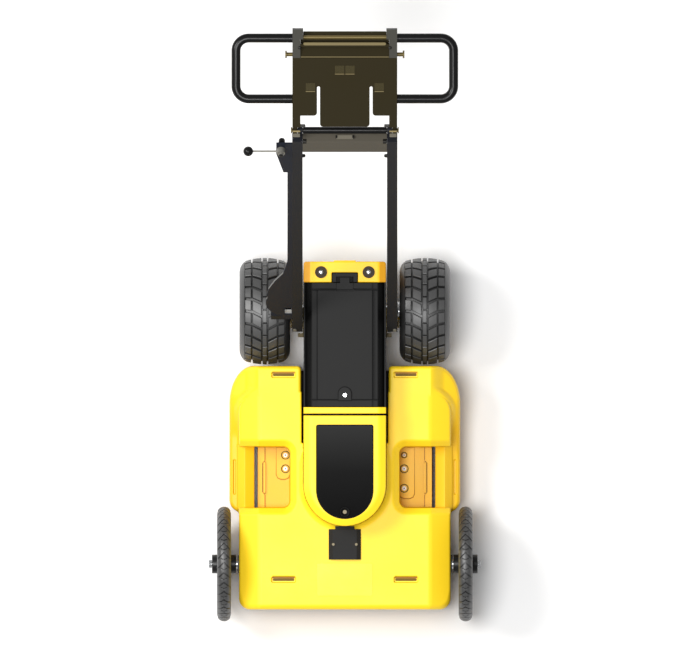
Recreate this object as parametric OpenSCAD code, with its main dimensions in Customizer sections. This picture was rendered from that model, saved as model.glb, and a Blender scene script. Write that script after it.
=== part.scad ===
// Ground penetrating radar cart: a low antenna body on two small front wheels,
// a battery spine on two broad rear wheels, and a handle that folds at two places.
// Millimetres. +Z is up, the front of the cart faces -Y, the ground is Z = 0, and the
// origin lies under the middle of the whole cart.

/* [Rear wheels] */
// Outside diameter of the rear tyre
rear_tyre_d = 266; // [256:1:267]
// Width of the rear tyre
rear_tyre_w = 127; // [110:1:129]
// Shoulder radius of the rear tyre
rear_shoulder_r = 24; // [12:1:30]
// Depth of the rear tyre from its rim to its tread
rear_tyre_depth = 60; // [53:1:73]
// Width of the rear rim
rear_rim_w = 96; // [84:1:104]
// Wall of the rear rim barrel
rear_rim_wall = 6; // [4:0.5:9]
// Thickness of the rear rim web
rear_web_t = 10; // [6:1:16]
// Diameter of the rear hub
rear_hub_d = 50; // [44:1:60]
// Width of the rear hub
rear_hub_w = 70; // [50:1:80]
// Distance of the rear wheel from the middle plane
rear_wheel_x = 200; // [199:1:215]
// Gap between the rear tyres and the side pods
tyre_pod_gap = 6; // [5:1:10]
// Diameter of the rear axle
axle_d = 15; // [12:0.5:16]
// Width of the tread grooves round the rear tyre
tread_groove_w = 5; // [3:0.5:6]
// Depth of the tread grooves round the rear tyre
tread_groove_depth = 6; // [2:0.5:8]
// Thickness of the rear tyre's carcass
rear_carcass_t = 13; // [11:0.5:16]
// Distance of the inner tread grooves from the tyre's middle
inner_groove_x = 9; // [7:0.5:14]
// Distance of the outer tread grooves from the tyre's middle
outer_groove_x = 33; // [24:0.5:36]

/* [Front wheels] */
// Outside diameter of the front tyre
front_tyre_d = 287; // [270:1:288]
// Width of the front tyre
front_tyre_w = 35; // [30:1:36]
// Depth of the front tyre from its rim to its tread
front_tyre_depth = 29; // [24:1:34]
// Width of the front rim
front_rim_w = 29; // [20:1:30]
// Wall of the front rim
front_rim_wall = 6; // [4:0.5:9]
// Thickness of the front wheel's disc
front_web_t = 8; // [5:1:12]
// Diameter of the front hub
front_hub_d = 47; // [42:1:56]
// Width of the front hub
front_hub_w = 60; // [44:1:61]
// Distance of the front wheel's middle from the nose's side
front_wheel_gap = 39; // [39:1:47]
// Place of the front axle along the cart, ahead of the middle
front_axle_ahead = 598; // [597:1:604]
// Diameter of the front stub axle
stub_d = 12; // [10:0.5:14]
// Reach of the stub axle's tip past the front wheel's middle
stub_reach = 38; // [38:1:50]
// Diameter of the collar at the stub axle's root
stub_collar_d = 24; // [18:1:26]

/* [Bearings and nuts] */
// Outside diameter of a rear bearing
rear_bearing_d = 32; // [28:1:35]
// Width of a rear bearing
rear_bearing_w = 9; // [7:1:12]
// Outside diameter of a front bearing
front_bearing_d = 28; // [24:1:32]
// Width of a front bearing
front_bearing_w = 8; // [6:1:10]
// Size of the rear axle nut across its corners
axle_nut_d = 27; // [22:1:32]
// Thickness of the rear axle nut
axle_nut_t = 9; // [6:1:11]
// Size of the front axle nut across its corners
stub_nut_d = 22; // [18:1:24]
// Thickness of the front axle nut
stub_nut_t = 7; // [5:0.5:7.5]
// Diameter of the rear axle spacer
spacer_d = 30; // [24:1:34]
// Diameter of the flange on the rear axle spacer
spacer_flange_d = 48; // [36:1:54]
// Width of the flange on the rear axle spacer
spacer_flange_w = 11; // [6:1:14]
// Diameter of the odometer ring on the front stub axle
odometer_d = 44; // [36:1:46]
// Width of the odometer ring
odometer_w = 5; // [3:0.5:7]

/* [Spine] */
// Half width of the spine
spine_half_w = 103; // [102:0.5:104]
// Wall of the spine tub
tub_wall = 4; // [3:0.5:5]
// Depth of the tub's underside below the rear axle
tub_drop = 38; // [33:1:45]
// Depth of the deck, which carries the control cover, below the rear tyres' top
deck_drop = 51; // [46:1:61]
// Height of the battery bay's rim above the rear tyres' top
bay_rim_rise = 19; // [17:1:24]
// Height of the spine's top above the rear tyres' top
spine_top_rise = 39; // [37:1:46]
// Place of the battery bay's rear end
bay_rear_y = 106; // [106:1:112]
// Length of the battery bay
bay_len = 312; // [306:1:314]
// Length of the rear cap
cap_len = 52; // [46:1:60]
// Step of the rear cap below the spine's top
cap_step = 5; // [3:0.5:8]
// Corner radius of the rear cap
cap_corner_r = 12; // [6:1:20]
// Half width of the latch notch in the rear cap
notch_half_w = 33; // [28:1:40]
// Length of the latch notch in the rear cap
notch_len = 26; // [20:1:30]
// Depth of the latch notch in the rear cap
notch_depth = 14; // [11:1:15]
// Thickness of the rear cap's top
cap_roof_t = 20; // [18:1:26]
// Distance of a cap bolt from the middle plane
cap_bolt_x = 59.5; // [52:0.5:70]
// Diameter of the washer under a cap bolt
cap_washer_d = 30; // [22:1:32]
// Diameter of a cap bolt
cap_bolt_d = 10; // [8:0.5:14]
// Thickness of the yellow bulkhead in front of the bay
bulkhead_t = 16; // [12:1:20]
// Joint between the bulkhead and the control cover
cover_joint = 4; // [2:0.5:6]
// Straight length of the control cover
cover_straight_len = 174; // [168:1:180]
// Edge radius of the control cover
cover_edge_r = 16; // [10:1:24]
// Half width of the window panel
panel_half_w = 70; // [60:1:78]
// Thickness of the window panel
panel_t = 5; // [4:0.5:7]
// Distance of the window panel from the cover's rear edge
panel_setback = 25; // [18:1:32]
// Gap between the tub's front end and the nose
tub_nose_gap = 20; // [18:1:52]

/* [Battery] */
// Height of the battery's underside above the rear axle
battery_base_rise = 19; // [18:1:27]
// Half width of the battery
battery_half_w = 98; // [94:0.5:98.5]
// Half width of the raised panel on the battery
battery_panel_half_w = 68; // [60:1:72]
// Half width of the battery's flat shoulders
battery_shoulder_half_w = 82; // [76:1:88]
// Height of the battery's sloped flank
battery_slope_h = 20; // [12:1:24]
// Height of the raised panel on the battery
battery_panel_h = 5; // [3:0.5:8]
// Wall of the battery case
battery_wall = 5; // [4:0.5:7]
// Thickness of the battery's base plate
battery_base_t = 6; // [4:0.5:8]
// Diameter of one battery cell
cell_d = 34; // [30:1:36]
// Height of one battery cell
cell_h = 100; // [80:1:112]
// Half width of the battery latch
latch_half_w = 21; // [16:1:26]
// Length of the battery latch's plate
latch_plate_len = 16; // [12:1:18]
// Travel of the battery latch
latch_travel = 4; // [2:0.5:5]

/* [Antenna body] */
// Half width of the nose
nose_half_w = 263; // [256:1:264]
// Length of the nose
nose_len = 253; // [246:1:256]
// Length of the side pods
pod_len = 353; // [346:1:354]
// Place of the pods' rear end, ahead of the middle
pod_rear_ahead = 105; // [104:1:110]
// Height of the shells' underside
shell_base_z = 20; // [16:1:26]
// Radius of the shells' upper side edges
side_edge_r = 50; // [30:1:60]
// Radius of the nose's upper front edge
front_edge_r = 20; // [10:1:30]
// Corner radius of the nose seen from above
nose_corner_r = 30; // [20:1:50]
// Wall of the shells
shell_wall = 8; // [6:0.5:9]
// Reach of the carrying wings past the nose's side
wing_reach = 25; // [15:1:27]
// Step of the carrying wings below the deck
wing_drop = 75; // [65:1:85]
// Rear corner radius of the wings seen from above
wing_rear_r = 70; // [50:1:80]
// Front corner radius of the wings seen from above
wing_front_r = 22; // [16:1:30]
// Edge radius of the wings
wing_edge_r = 24; // [14:1:30]
// Gap between the pods and the spine at the rear
spine_gap = 5; // [3:0.5:8]
// Length of that gap
spine_gap_len = 190; // [160:1:196]
// Distance of the hand pocket's inner wall from the middle plane
pocket_inner_x = 136; // [130:1:138]
// Length of the hand pocket
pocket_len = 153; // [140:1:156]
// Depth of the hand pocket below the deck
pocket_depth = 105; // [99:1:115]
// Bevel round the hand pocket
pocket_bevel = 15; // [8:1:16]
// Distance of the grip slot's inner edge from the nose's side
grip_slot_inset = 45; // [41:1:49]
// Width of the grip slot
grip_slot_w = 8; // [7:0.5:10]
// Length of a moulded strap slot
strap_slot_len = 60; // [50:1:70]
// Width of a moulded strap slot
strap_slot_w = 13; // [8:1:14]
// Depth of a moulded strap slot
strap_slot_depth = 5; // [3:0.5:6]
// Distance of a strap slot from the middle plane
strap_slot_x = 153; // [146:1:160]
// Distance of a strap slot from the shell's end
strap_slot_inset = 20; // [18:1:24]
// Distance of the front strap slots from the nose's front
strap_slot_front_inset = 74; // [60:1:80]
// Thickness of the skid pan
pan_t = 6; // [4:0.5:8]
// Inset of the skid pan from the shells' edge
pan_inset = 10; // [8:1:12]

/* [Front bracket and label] */
// Half width of the front bracket
bracket_half_w = 41; // [36:1:46]
// Length of the front bracket
bracket_len = 76; // [66:1:80]
// Height of the front bracket
bracket_h = 12; // [8:1:16]
// Sloped side of the front bracket
bracket_side = 8; // [5:1:9]
// Gap between the spine and the front bracket's block
bracket_gap = 8; // [6:0.5:10]
// Half width of the front bracket's neck
neck_half_w = 26; // [20:1:30]
// Half width of the blank label plate
label_half_w = 70; // [60:1:80]
// Length of the blank label plate
label_len = 82; // [70:1:84]
// Thickness of the blank label plate
label_t = 1.5; // [1:0.25:2]

/* [Lower handle] */
// Distance of the handle pivot ahead of the rear axle
pivot_ahead = 32; // [30:1:34]
// Depth of the handle pivot below the rear tyres' top
pivot_drop = 4; // [2:1:6]
// Lean of the rails from level, in degrees
rail_lean = 56.5; // [55:0.5:58]
// Length of a rail from its pivot to the hinge line
rail_len = 855; // [820:1:870]
// Size of the square rail tube
rail_size = 26; // [24:0.5:28]
// Wall of the rail tube
rail_wall = 2.5; // [2:0.25:4]
// Distance of a rail's inner face from the middle plane
rail_inner_x = 105.5; // [105.5:0.1:107]
// Length of a rail below its pivot
rail_foot = 16; // [14:1:17]
// Diameter of the pivot stud
stud_d = 12; // [10:0.5:14]
// Width of the cross plate along the rails
cross_plate_w = 46; // [40:1:60]
// Thickness of the cross plate
cross_plate_t = 3; // [2:0.5:4]
// Half width of the fold latch
fold_latch_half_w = 18; // [14:1:24]
// Diameter of the hinge pin
hinge_pin_d = 10; // [8:0.5:10.5]
// Diameter of the hinge tube
hinge_tube_d = 17; // [15:0.5:18]
// Radius of the hinge knuckles
knuckle_r = 10; // [9:0.5:10.5]
// Distance of the hinge line from the rail's rear face
hinge_offset = 2; // [1.5:0.5:3]

/* [Brake] */
// Thickness of the guard plate
guard_t = 5; // [4:0.5:6]
// Width of the guard plate's strip
guard_strip_w = 12; // [12:0.5:14]
// Width of the guard plate's bulge over the tyre
guard_bulge_w = 66; // [60:1:72]
// Place of the bulge's middle along the rail
guard_bulge_y = 115; // [110:1:125]
// Top of the bulge's slope along the rail
guard_slope_y = 300; // [280:1:320]
// Width of the lever bracket
lever_bracket_w = 40; // [36:1:46]
// Length of the lever bracket
lever_bracket_len = 129; // [110:1:140]
// Distance of the lever bracket's upper edge from the hinge line
lever_bracket_inset = 20; // [17:1:40]
// Length of the lever from its swivel to its knob
lever_len = 82; // [70:1:92]
// Diameter of the lever's rod
lever_rod_d = 5; // [4:0.5:7]
// Diameter of the lever's knob
lever_knob_d = 25; // [20:1:28]
// Diameter of the lever's swivel
swivel_d = 20; // [16:1:21]
// Diameter of the lever's pivot pin
lever_pin_d = 8; // [6:0.5:9]
// Diameter of the brake rod
brake_rod_d = 6; // [5:0.5:6.5]
// Length of the brake shoe across the tyre
shoe_w = 48; // [36:1:52]
// Thickness of the brake shoe
shoe_t = 14; // [10:1:14]
// Travel of the brake shoe
shoe_travel = 12; // [8:0.5:12]
// Gap left at the tyre when the brake is on
shoe_gap = 5; // [3:0.5:6]
// Fold of the handle to the front, in degrees, that the shoe clears the tyre at
fold_angle = 108; // [80:1:108]

/* [Upper handle] */
// Rise of the upper handle from level, in degrees
upper_tilt = 8; // [4:0.5:12]
// Length of the upper handle from the hinge line
upper_len = 258; // [250:1:262]
// Width of a side arm
arm_w = 20; // [17:0.5:20]
// Height of a side arm
arm_h = 30; // [26:1:34]
// Thickness of the tray sheet
tray_t = 3; // [2:0.5:4]
// Place of the tray's front edge from the hinge line
tray_front_y = 41; // [34:1:48]
// Half width of the tray's tongue
tongue_half_w = 62; // [54:1:70]
// Place of the tongue's end from the hinge line
tongue_front_y = 13; // [12:0.5:20]
// Width of the slots beside the tongue
tongue_slot_w = 7.5; // [6:0.5:10]
// Place of the slots' closed end from the hinge line
tongue_slot_y = 115; // [100:1:125]
// Length of a corner bracket
corner_len = 71; // [66:1:76]
// Half width inside the corner brackets' rear blocks
corner_block_x = 104; // [100:1:106]
// Length of the corner brackets' rear blocks
corner_block_len = 24; // [20:1:28]
// Diameter of the ledge bar
ledge_bar_d = 11; // [8:0.5:12]
// Diameter of the handle tube
loop_tube_d = 23; // [20:0.5:25]
// Bore of the handle tube
loop_bore = 19; // [15:0.5:21]
// Distance of the handle's outer leg from the middle plane
loop_reach_x = 272; // [255:1:285]
// Bend radius of the handle tube
loop_bend_r = 32; // [26:1:40]
// Place of the handle's front leg from the hinge line
loop_front_y = 81.5; // [74:0.5:90]
// Place of the handle's rear leg from the hinge line
loop_rear_y = 235; // [225:0.5:242]
// Diameter of a pull plunger's shaft
plunger_d = 10; // [8:0.5:11]
// Diameter of a pull plunger's flange
plunger_flange_d = 19; // [15:0.5:22]
// Reach of a pull plunger outside its bracket
plunger_reach = 18; // [16:0.5:22]
// Place of the pull plungers from the hinge line
plunger_y = 194; // [193:0.5:198]

/* [Clearances] */
// Running clearance round a shaft, on the radius
run_clear = 0.05; // [0.02:0.01:0.1]
// Clearance round a seated piece, on the radius
seat_clear = 0.05; // [0.02:0.01:0.1]
// Side clearance between moving faces
side_clear = 0.5; // [0.3:0.1:0.6]

/* [Hidden] */
$fn = 96;
overrun = 1;
black = "#2D2D2D";
yellow = "#F8E23C";
steel = "#C9CBCC";
olive = "#383221";
grey = "#58554E";
rubber = "#3A3A3A";

pod_rear_y = -pod_rear_ahead;
rear_axle_y = pod_rear_y + rear_tyre_d / 2 + tyre_pod_gap;
rear_axle_z = rear_tyre_d / 2;
rear_rim_d = rear_tyre_d - 2 * rear_tyre_depth;
tub_floor_z = rear_axle_z - tub_drop;
deck_z = rear_tyre_d - deck_drop;
bay_rim_z = rear_tyre_d + bay_rim_rise;
spine_top_z = rear_tyre_d + spine_top_rise;
battery_base_z = rear_axle_z + battery_base_rise;
wing_top_z = deck_z - wing_drop;
pocket_floor_z = deck_z - pocket_depth;
pivot_y = rear_axle_y - pivot_ahead;
pivot_z = rear_tyre_d - pivot_drop;
front_axle_z = front_tyre_d / 2;
front_axle_y = -front_axle_ahead;
front_wheel_x = nose_half_w + front_wheel_gap;
stub_tip_x = front_wheel_x + stub_reach;
hub_air = 2;
axle_half_len = rear_wheel_x + rear_hub_w / 2 + axle_nut_t + hub_air;
spacer_flange_gap = 29;
stub_root_len = 13;

bay_front_y = bay_rear_y - bay_len;
bay_half_w = spine_half_w - tub_wall;
axle_boss_d = 30;
axle_boss_len = 14;
bay_ledge_w = 12;
bay_ledge_len = 40;
cap_rear_y = bay_rear_y + cap_len;
cap_top_z = spine_top_z - cap_step;
cap_bolt_y = bay_rear_y + notch_len - side_clear;
cap_tab_half_w = 27;
cap_tab_len = 3;
cap_tab_h = 30;
cap_washer_t = 3;
cap_bolt_head_t = 5;
cap_shank_len = 14;
cover_rear_y = bay_front_y - bulkhead_t - cover_joint;
cover_centre_y = cover_rear_y - cover_straight_len;
cover_wall = 6;
cover_roof_t = 10;
panel_rear_y = cover_rear_y - panel_setback;
panel_clear = 0.3;
panel_round_share = 0.2;
panel_centre_y = cover_centre_y - panel_half_w * panel_round_share;
panel_screw_d = 10;
panel_screw_recess_d = 26;
panel_screw_recess = 2;
panel_screw_inset = 16;
panel_screw_y = panel_centre_y - panel_half_w + panel_screw_inset;
control_unit_half_w = 80;
control_unit_h = 90;
control_unit_margin = 14;
control_lid_t = 4;
control_fin_t = 3;
control_fin_pitch = 12;
control_fin_h = 12;

battery_clear = 1.5;
battery_rear_y = bay_rear_y - battery_clear;
battery_front_y = bay_front_y + battery_clear;
battery_top_z = spine_top_z;
battery_deck_z = battery_top_z - battery_panel_h;
groove_w = 3;
groove_depth = 3;
rear_groove_inset = 15;
front_groove_inset = 17;
tab_half_w = 16;
tab_front_y = battery_front_y + front_groove_inset + groove_w / 2;
tab_len = 30;
tab_h = 1.5;
battery_screw_d = 10;
battery_screw_t = 3;
latch_t = 5;
latch_air = 0.3;
latch_front_y = battery_rear_y - latch_plate_len;
latch_tongue_half_w = 12;
latch_tongue_len = 14;
cell_rows = 4;
cell_columns = 7;
cell_gap = 3;

nose_rear_y = -(pod_rear_ahead + pod_len);
nose_front_y = nose_rear_y - nose_len;
gap_end_y = pod_rear_y - spine_gap_len;
pocket_rear_y = nose_rear_y + pocket_len;
pod_inner_x = spine_half_w + spine_gap;
pod_corner_r = 10;
pod_edge_r = 14;
crease_step = 2;
upper_half_w = nose_half_w + crease_step;
wing_half_w = nose_half_w + wing_reach;
grip_slot_x = nose_half_w - grip_slot_inset;
tub_front_y = nose_rear_y + tub_nose_gap;
pod_cavity_roof = 20;
cavity_top_z = deck_z - pod_cavity_roof;
pod_cavity_side = 20;
fitting_h = 9;
fitting_ring_t = 2;
fitting_inset = 12.5;
fitting_x = pocket_inner_x + fitting_inset;
fitting_pitch = 34;
fitting_first = 21;
fitting_d = 18;
fitting_small_d = 12;
fitting_far = 83;
fitting_centre_share = 0.45;
pan_top_z = shell_base_z;
antenna_gap = 20;
antenna_margin = 14;
antenna_h = 110;
antenna_wall_t = 3;

bracket_rear_y = cover_centre_y - spine_half_w - bracket_gap;
bracket_front_y = bracket_rear_y - bracket_len;
bracket_middle_y = (bracket_rear_y + bracket_front_y) / 2;
bracket_screw_d = 7;
bracket_screw_t = 3;
bracket_screw_share = 0.7;
label_gap = 9;
label_corner_r = 4;

rail_outer_x = rail_inner_x + rail_size;
rail_face = rail_size / 2;
hinge_drop = rail_face + hinge_offset;
hinge_y = pivot_y + rail_len * cos(rail_lean) + hinge_drop * sin(rail_lean);
hinge_z = pivot_z + rail_len * sin(rail_lean) - hinge_drop * cos(rail_lean);
hinge_relief = knuckle_r + 2 * side_clear;
knuckle_split_x = (rail_inner_x + rail_outer_x) / 2;
rail_end_y = rail_len - hinge_relief;
knuckle_h = 10;
knuckle_root = 8;
pin_head_d = 16;
pin_head_t = 3;
stud_plate_t = 2.2;
stud_plate_d = 44;
stud_head_d = 20;
stud_head_t = 4;
stop_y = 25;
stop_len = 12;
stop_h = 10;
stop_w = 12;
front_tab_gap = 23;
front_tab_len = 10;
front_tab_drop = 24;
front_tab_h = 8;
plate_margin = 1;
foot_bolt_d = 9;
foot_bolt_t = 3;
foot_bolt_inset = 6.5;
cross_notch = 10;
latch_slide_t = 4;
latch_slide_w = 10;
latch_end_w = 3;

guard_top = rail_face;
guard_under = rail_face - guard_t;
guard_foot_y = 41;
guard_foot_w = 28;
guard_window_w = 17;
guard_window_len = 29;
guard_window_gap = 1.5;
guard_window_y = 63;
guard_shoulder_share = 0.35;
guard_taper_share = 0.55;
guard_slope_shares = [[0.93, 0.06], [0.96, 0.2], [0.9, 0.33], [0.66, 0.53], [0.34, 0.72], [0.18, 1]];
lever_bracket_y = rail_len - lever_bracket_inset;
swivel_inset = 12;
swivel_drop = 22;
lever_x = -(rail_outer_x + lever_bracket_w - swivel_inset);
lever_y = lever_bracket_y - swivel_drop;
swivel_h = 14;
swivel_cap_d = 13;
swivel_cap_h = 5;
lever_rod_z = guard_top + side_clear + swivel_h / 2;
crank_w = 8;
crank_t = 4;
brake_rod_x = -(rail_outer_x + guard_strip_w / 2);
brake_rod_drop = 12;
brake_rod_z = guard_under - brake_rod_drop;
guide_len = 20;
guide_places = [guard_slope_y - guide_len - plate_margin,
                lever_bracket_y - lever_bracket_len - guide_len - plate_margin];
guide_wall = 2.6;
shoe_top_y = 48;
shoe_side_gap = 2 * side_clear + stud_head_t;
shoe_x = -(rail_outer_x + shoe_side_gap + shoe_w / 2);
shoe_z = guard_under - side_clear - shoe_t;

arm_inner_x = rail_outer_x - side_clear - arm_w;
arm_outer_x = rail_outer_x - side_clear;
arm_floor = hinge_offset;
arm_top = hinge_offset + arm_h;
tongue_corner_r = 8;
corner_front_y = upper_len - corner_len;
corner_rise = 2;
loop_z = hinge_offset + arm_h / 2;
ledge_t = 3;
ledge_band_drop = 9;
ledge_lip_y = 222;
ledge_lip_h = 10;
ledge_lip_len = 8;
ledge_bar_y = 238;
ledge_bar_z = 22;
plunger_z = 18;
plunger_depth = 14;
plunger_flange_t = 4;

// Box between three [from, to] pairs
module block(x, y, z) {
    translate([x[0], y[0], z[0]])
        cube([x[1] - x[0], y[1] - y[0], z[1] - z[0]]);
}

// Round bar along X between two places
module rod_x(x, d) {
    translate([x[0], 0, 0])
        rotate([0, 90, 0])
            cylinder(d = d, h = x[1] - x[0]);
}

// Solid of revolution about X from an outline of (radius, place along X)
module turned_x() {
    rotate([0, 90, 0])
        rotate_extrude()
            children();
}

// Outline of (x, z) drawn out along Y
module along_y(y) {
    translate([0, y[1], 0])
        rotate([90, 0, 0])
            linear_extrude(y[1] - y[0])
                children();
}

// Outline of (y, z) drawn out along X
module along_x(x) {
    translate([x[0], 0, 0])
        rotate([90, 0, 90])
            linear_extrude(x[1] - x[0])
                children();
}

// Outline of (x, y) drawn out along Z
module along_z(z) {
    translate([0, 0, z[0]])
        linear_extrude(z[1] - z[0])
            children();
}

// Rectangle between two [from, to] pairs
module area(x, y) {
    translate([x[0], y[0]])
        square([x[1] - x[0], y[1] - y[0]]);
}

// Rectangle with four round corners
module round_area(x, y, r) {
    area([x[0] + r, x[1] - r], y);
    area(x, [y[0] + r, y[1] - r]);
    for (cx = [x[0] + r, x[1] - r], cy = [y[0] + r, y[1] - r])
        translate([cx, cy])
            circle(r);
}

// Rectangle whose corner at the high end of x and y alone is round
module one_round_area(x, y, r) {
    area([x[0], x[1] - r], y);
    area(x, [y[0], y[1] - r]);
    intersection() {
        translate([x[1] - r, y[1] - r])
            circle(r);
        area([x[1] - r, x[1] + r], [y[1] - r, y[1] + r]);
    }
}

module on_side(side) {
    mirror([side < 0 ? 1 : 0, 0, 0])
        children();
}

module on_both_sides() {
    for (side = [1, -1])
        on_side(side)
            children();
}

module at_rear_wheel(side) {
    translate([side * rear_wheel_x, rear_axle_y, rear_axle_z])
        children();
}

module at_front_wheel(side) {
    translate([side * front_wheel_x, front_axle_y, front_axle_z])
        children();
}

// Frame of the lower handle: y runs up the rail, z points to the front
module in_rail_frame() {
    translate([0, pivot_y, pivot_z])
        rotate([rail_lean, 0, 0])
            children();
}

// Frame of the upper handle: y runs to the rear from the hinge line
module in_upper_frame() {
    translate([0, hinge_y, hinge_z])
        rotate([upper_tilt, 0, 0])
            children();
}

// Black tub that holds the battery and carries the rear axle and the handle
module spine_tub() {
    color(black)
        difference() {
            union() {
                difference() {
                    tub_outside();
                    block([-bay_half_w, bay_half_w], [bay_front_y, bay_rear_y + overrun],
                          [tub_floor_z + tub_wall, bay_rim_z + overrun]);
                    block([-bay_half_w, bay_half_w], [tub_front_y + tub_wall, bay_front_y - tub_wall],
                          [tub_floor_z + tub_wall, deck_z + overrun]);
                }
                on_both_sides()
                    translate([0, rear_axle_y, rear_axle_z])
                        rod_x([bay_half_w - axle_boss_len, bay_half_w], axle_boss_d);
                on_both_sides()
                    for (y = [bay_front_y, bay_rear_y - bay_ledge_len])
                        block([bay_half_w - bay_ledge_w, bay_half_w], [y, y + bay_ledge_len],
                              [tub_floor_z + tub_wall, battery_base_z - panel_clear]);
            }
            translate([0, rear_axle_y, rear_axle_z])
                rod_x([-spine_half_w - overrun, spine_half_w + overrun], axle_d + 2 * seat_clear);
            translate([0, pivot_y, pivot_z])
                rod_x([-spine_half_w - overrun, spine_half_w + overrun], stud_d + 2 * seat_clear);
        }
}

module tub_outside() {
    block([-spine_half_w, spine_half_w], [tub_front_y, bay_rear_y],
          [tub_floor_z, deck_z]);
    block([-spine_half_w, spine_half_w], [bay_front_y, bay_rear_y], [tub_floor_z, bay_rim_z]);
}

// Yellow end cap behind the battery, with a notch for the latch
module rear_cap() {
    color(yellow)
        difference() {
            union() {
                along_z([tub_floor_z, cap_top_z]) {
                    area([-spine_half_w, spine_half_w], [bay_rear_y, cap_rear_y - cap_corner_r]);
                    round_area([-spine_half_w, spine_half_w], [bay_rear_y, cap_rear_y], cap_corner_r);
                }
                block([-cap_tab_half_w, cap_tab_half_w], [cap_rear_y, cap_rear_y + cap_tab_len],
                      [cap_top_z - cap_tab_h, cap_top_z - cap_step]);
            }
            block([-bay_half_w, bay_half_w], [bay_rear_y - overrun, cap_rear_y - cap_corner_r],
                  [tub_floor_z + tub_wall, cap_top_z - cap_roof_t]);
            block([-notch_half_w, notch_half_w], [bay_rear_y - overrun, bay_rear_y + notch_len],
                  [cap_top_z - notch_depth, cap_top_z + overrun]);
            on_both_sides()
                translate([cap_bolt_x, cap_bolt_y, cap_top_z - cap_shank_len - side_clear])
                    cylinder(d = cap_bolt_d + 2 * seat_clear, h = cap_roof_t);
        }
}

// Two washers with bolts on the rear cap
module cap_bolts() {
    color("#655A3A")
        on_both_sides()
            translate([cap_bolt_x, cap_bolt_y, cap_top_z]) {
                cylinder(d = cap_washer_d, h = cap_washer_t);
                cylinder(d = cap_bolt_d, h = cap_washer_t + cap_bolt_head_t);
                translate([0, 0, -cap_shank_len])
                    cylinder(d = cap_bolt_d, h = cap_shank_len);
            }
}

// Half section of the cover: (distance from the middle, height)
module cover_section(half_w, z, r) {
    one_round_area([0, half_w], z, r);
}

module full_section(half_w, z, r) {
    cover_section(half_w, z, r);
    mirror([1, 0])
        cover_section(half_w, z, r);
}

// Yellow wall between the battery bay and the control cover
module bay_bulkhead() {
    color(yellow)
        along_y([bay_front_y - bulkhead_t, bay_front_y])
            full_section(spine_half_w, [deck_z, spine_top_z], cover_edge_r);
}

// Straight shell with a half round front end
module cover_form(half_w, z, r, rear_y) {
    along_y([cover_centre_y, rear_y])
        full_section(half_w, z, r);
    translate([0, cover_centre_y, 0])
        rotate_extrude()
            cover_section(half_w, z, r);
}

module panel_outline(half_w) {
    area([-half_w, half_w], [panel_centre_y, panel_rear_y - panel_half_w + half_w]);
    translate([0, panel_centre_y])
        circle(half_w);
}

// Yellow cover over the control unit, with a seat for the window
module control_cover() {
    color(yellow)
        difference() {
            cover_form(spine_half_w, [deck_z, spine_top_z], cover_edge_r, cover_rear_y);
            cover_form(spine_half_w - cover_wall, [deck_z - overrun, spine_top_z - cover_roof_t],
                       cover_edge_r / 2, cover_rear_y - cover_wall);
            along_z([spine_top_z - panel_t, spine_top_z + overrun])
                panel_outline(panel_half_w);
        }
}

// Gloss black window in the cover
module window_panel() {
    color("#202020")
        difference() {
            along_z([spine_top_z - panel_t, spine_top_z])
                panel_outline(panel_half_w - panel_clear);
            translate([0, panel_screw_y, spine_top_z - panel_screw_recess])
                cylinder(d = panel_screw_recess_d, h = panel_screw_recess + overrun);
        }
}

// Screw of the window and the two screws of the front bracket
module deck_screws() {
    color(steel) {
        translate([0, panel_screw_y, spine_top_z - panel_screw_recess])
            cylinder(d = panel_screw_d, h = panel_screw_recess);
        on_both_sides()
            translate([bracket_half_w * bracket_screw_share, bracket_middle_y, deck_z + bracket_h])
                cylinder(d = bracket_screw_d, h = bracket_screw_t);
    }
}

// Radar control unit inside the tub, under the cover
module control_unit() {
    unit_y = [tub_front_y + tub_wall + control_unit_margin,
              bay_front_y - tub_wall - control_unit_margin];
    unit_top = tub_floor_z + tub_wall + control_unit_h;
    color("#8A8F94") {
        block([-control_unit_half_w, control_unit_half_w], unit_y, [tub_floor_z + tub_wall, unit_top]);
        block([-control_unit_half_w - control_lid_t, control_unit_half_w + control_lid_t],
              [unit_y[0] - control_lid_t, unit_y[1] + control_lid_t], [unit_top - control_lid_t, unit_top]);
        for (x = [-control_unit_half_w : control_fin_pitch : control_unit_half_w - control_fin_t])
            block([x, x + control_fin_t], unit_y, [unit_top, unit_top + control_fin_h]);
    }
}

// Black bracket that ties the spine to the nose
module front_bracket() {
    color(black) {
        along_y([bracket_front_y, bracket_rear_y])
            polygon([
                [-bracket_half_w, deck_z],
                [bracket_half_w, deck_z],
                [bracket_half_w - bracket_side, deck_z + bracket_h],
                [-bracket_half_w + bracket_side, deck_z + bracket_h]
            ]);
        block([-neck_half_w, neck_half_w], [bracket_rear_y, bracket_rear_y + bracket_gap - panel_clear],
              [deck_z, deck_z + bracket_h]);
    }
}

module strap_slot(y) {
    translate([strap_slot_x, y, deck_z])
        block([-strap_slot_len / 2, strap_slot_len / 2], [-strap_slot_w / 2, strap_slot_w / 2],
              [-strap_slot_depth, overrun]);
}

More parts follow.
